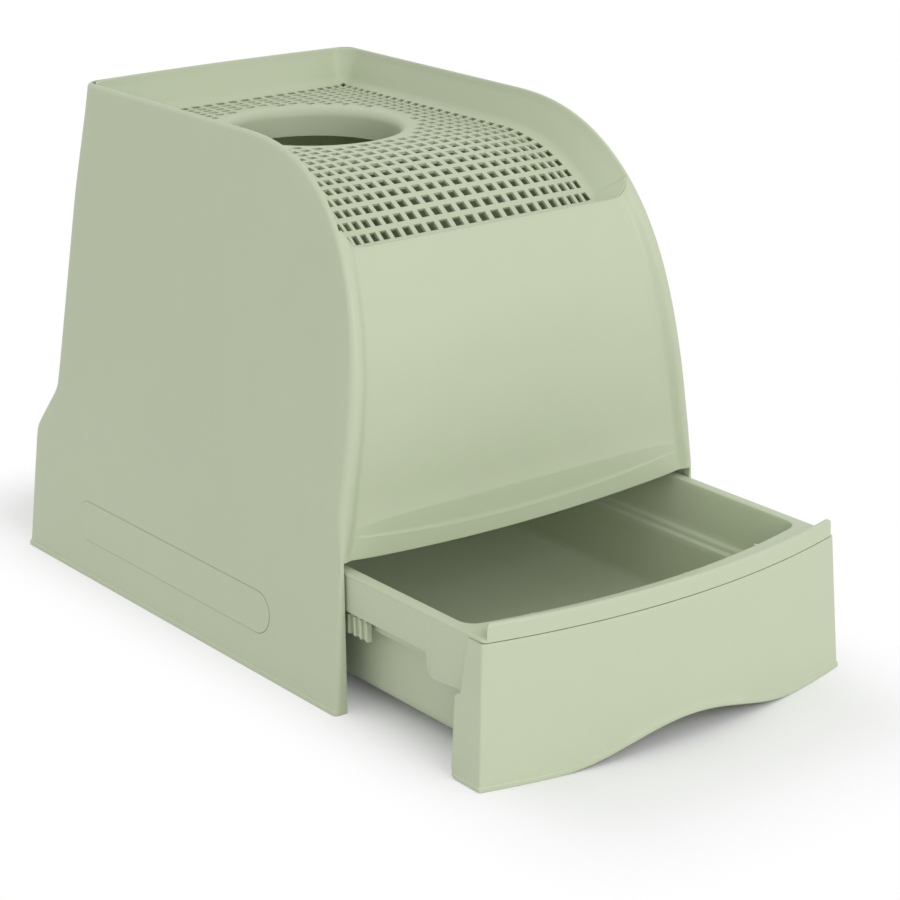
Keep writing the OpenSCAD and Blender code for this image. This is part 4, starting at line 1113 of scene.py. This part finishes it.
# the lamp: place, aim and width; and the floor's radius
LAMP_AT, LAMP_AIM, LAMP_SIZE = Vector((-0.2, -2.7, 1.5)), Vector((0, 0, 0.2)), 1.6
FLOOR_R = 6.0


def set_up(name, data, at, aim):
    """Puts a camera or lamp in the scene, turned to what it looks at."""
    obj = bpy.data.objects.new(name, data)
    obj.location = at
    obj.rotation_euler = (aim - at).to_track_quat("-Z", "Y").to_euler()
    bpy.context.scene.collection.objects.link(obj)
    return obj


def floor_disc():
    """The floor: rings of points round the frame's origin."""
    radius = np.linspace(0, 1, 13)[:, None] * FLOOR_R
    turn = np.radians(np.arange(0, 360, 5))
    skin = Skin()
    skin.grid(stacked(radius * np.cos(turn), radius * np.sin(turn), 0.0) / MM + [0, ORIGIN_Y, 0], wrap=True)
    return skin


# ---- colours and lights ----

class LitterBoxSettings(PropertyGroup):
    """Colours and lights that a user would change"""
    plastic: FloatVectorProperty(
        name="Plastic", description="Colour of the moulded plastic", subtype="COLOR", size=3,
        min=0, max=1, default=linear((194, 203, 175))[:3])
    floor: FloatVectorProperty(
        name="Floor", description="Colour of the studio floor", subtype="COLOR", size=3,
        min=0, max=1, default=(0.85, 0.85, 0.85))
    dome: FloatProperty(name="Dome", description="Strength of the even light all round",
                        default=0.82, min=0, max=3)
    key: FloatProperty(name="Key", description="Power of the main lamp", default=20.4, min=0,
                       max=500, unit="POWER")
    roughness: FloatProperty(name="Roughness", description="Roughness of the plastic", default=0.42,
                             min=0.1, max=0.9)


def settings():
    """The colours and lights in use."""
    return bpy.context.scene.litter_box


# ---- the steps that build it ----

class LITTERBOX_OT_hood(Operator):
    """Builds the hood's smooth moulding"""
    bl_idname = "litterbox.hood"
    bl_label = "Hood"

    def execute(self, context):
        hood = hood_skin().make("hood_moulding", wall=WALL, bevel=0.5)
        # the hood's plastic carries painted shade in the gap round the side plates
        wear(hood, moulded_plastic("hood_plastic_satin", gap=True))
        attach(hood, "hood")
        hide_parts("hood_shell", "hood_skirt", "jamb_left", "jamb_right")
        return {"FINISHED"}


class LITTERBOX_OT_deck(Operator):
    """Builds the perforated deck with its walls and the rolled entry"""
    bl_idname = "litterbox.deck"
    bl_label = "Entry deck"

    def execute(self, context):
        deck = deck_skin().make("entry_deck_moulding", wall=2.5)
        wear(deck, moulded_plastic("deck_plastic_satin"))
        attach(deck, "deck")
        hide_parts("entry_deck")
        return {"FINISHED"}


class LITTERBOX_OT_drawer(Operator):
    """Builds the pan, the drawer front with its screw posts, and the two latch tabs"""
    bl_idname = "litterbox.drawer"
    bl_label = "Drawer"

    def execute(self, context):
        satin = moulded_plastic("drawer_plastic_satin")
        pan = pan_skin().make("litter_pan_moulding", bevel=0.4)
        front = front_skin().make("drawer_front_moulding", wall=WALL, bevel=0.4)
        posts = post_skin().make("drawer_front_posts")
        for piece, slot, node in ((pan, "pan_plastic", "litter_pan"),
                                  (front, "front_plastic", "drawer_front"),
                                  (posts, "front_plastic", "drawer_front")):
            wear(piece, satin)
            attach(piece, "drawer")
            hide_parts(node)
        for side, word in ((-1, "left"), (1, "right")):
            tab = latch_skin(side).make("latch_" + word + "_grip", bevel=0.25)
            wear(tab, satin)
            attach(tab, "latch_" + word)
            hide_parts("latch_tab_" + word)
        return {"FINISHED"}


class LITTERBOX_OT_carried(Operator):
    """Finishes the pieces that keep their construction shape"""
    bl_idname = "litterbox.carried"
    bl_label = "Plates, runners, screws"

    def execute(self, context):
        plastic = moulded_plastic("small_parts_plastic")
        steel = plated_steel("screw_steel_plated")
        for name, node in NODES.items():
            wear(node, steel if "screws" in name else plastic)
        return {"FINISHED"}


class LITTERBOX_OT_studio(Operator):
    """Builds the floor, the lights and the camera"""
    bl_idname = "litterbox.studio"
    bl_label = "Studio"

    def execute(self, context):
        scene = context.scene
        scene.view_settings.view_transform = "Standard"
        floor = floor_disc().make("studio_floor")
        wear(floor, studio_paper("studio_floor_paper"))
        scene.world = studio_world("studio_world")

        lamp = bpy.data.lights.new("key_lamp", "AREA")
        lamp.shape = "DISK"
        lamp.size = LAMP_SIZE
        lamp.energy = settings().key
        set_up("key_lamp", lamp, LAMP_AT, LAMP_AIM)

        view = bpy.data.cameras.new("camera")
        view.lens = LENS
        view.sensor_width = 36
        view.clip_end = 50
        scene.camera = set_up("camera", view, CAMERA_AT, CAMERA_AIM)
        return {"FINISHED"}


STEPS = (LITTERBOX_OT_carried, LITTERBOX_OT_hood, LITTERBOX_OT_deck, LITTERBOX_OT_drawer, LITTERBOX_OT_studio)


class LITTERBOX_PT_panel(Panel):
    """Lists the settings and the steps that build the litter box"""
    bl_label = "Litter Box"
    bl_space_type = "VIEW_3D"
    bl_region_type = "UI"
    bl_category = "Litter Box"

    def draw(self, context):
        for name in LitterBoxSettings.__annotations__:
            self.layout.prop(context.scene.litter_box, name)
        for step in STEPS:
            self.layout.operator(step.bl_idname)


CLASSES = (LitterBoxSettings,) + STEPS + (LITTERBOX_PT_panel,)


def register():
    """Makes the settings, steps and panel known."""
    for cls in CLASSES:
        bpy.utils.register_class(cls)
    bpy.types.Scene.litter_box = PointerProperty(type=LitterBoxSettings)


def unregister():
    """Takes them out again."""
    del bpy.types.Scene.litter_box
    for cls in reversed(CLASSES):
        bpy.utils.unregister_class(cls)


def main():
    """Runs the steps in order."""
    register()
    for step in STEPS:
        group, name = step.bl_idname.split(".")
        getattr(getattr(bpy.ops, group), name)()


if __name__ == "__main__":
    main()
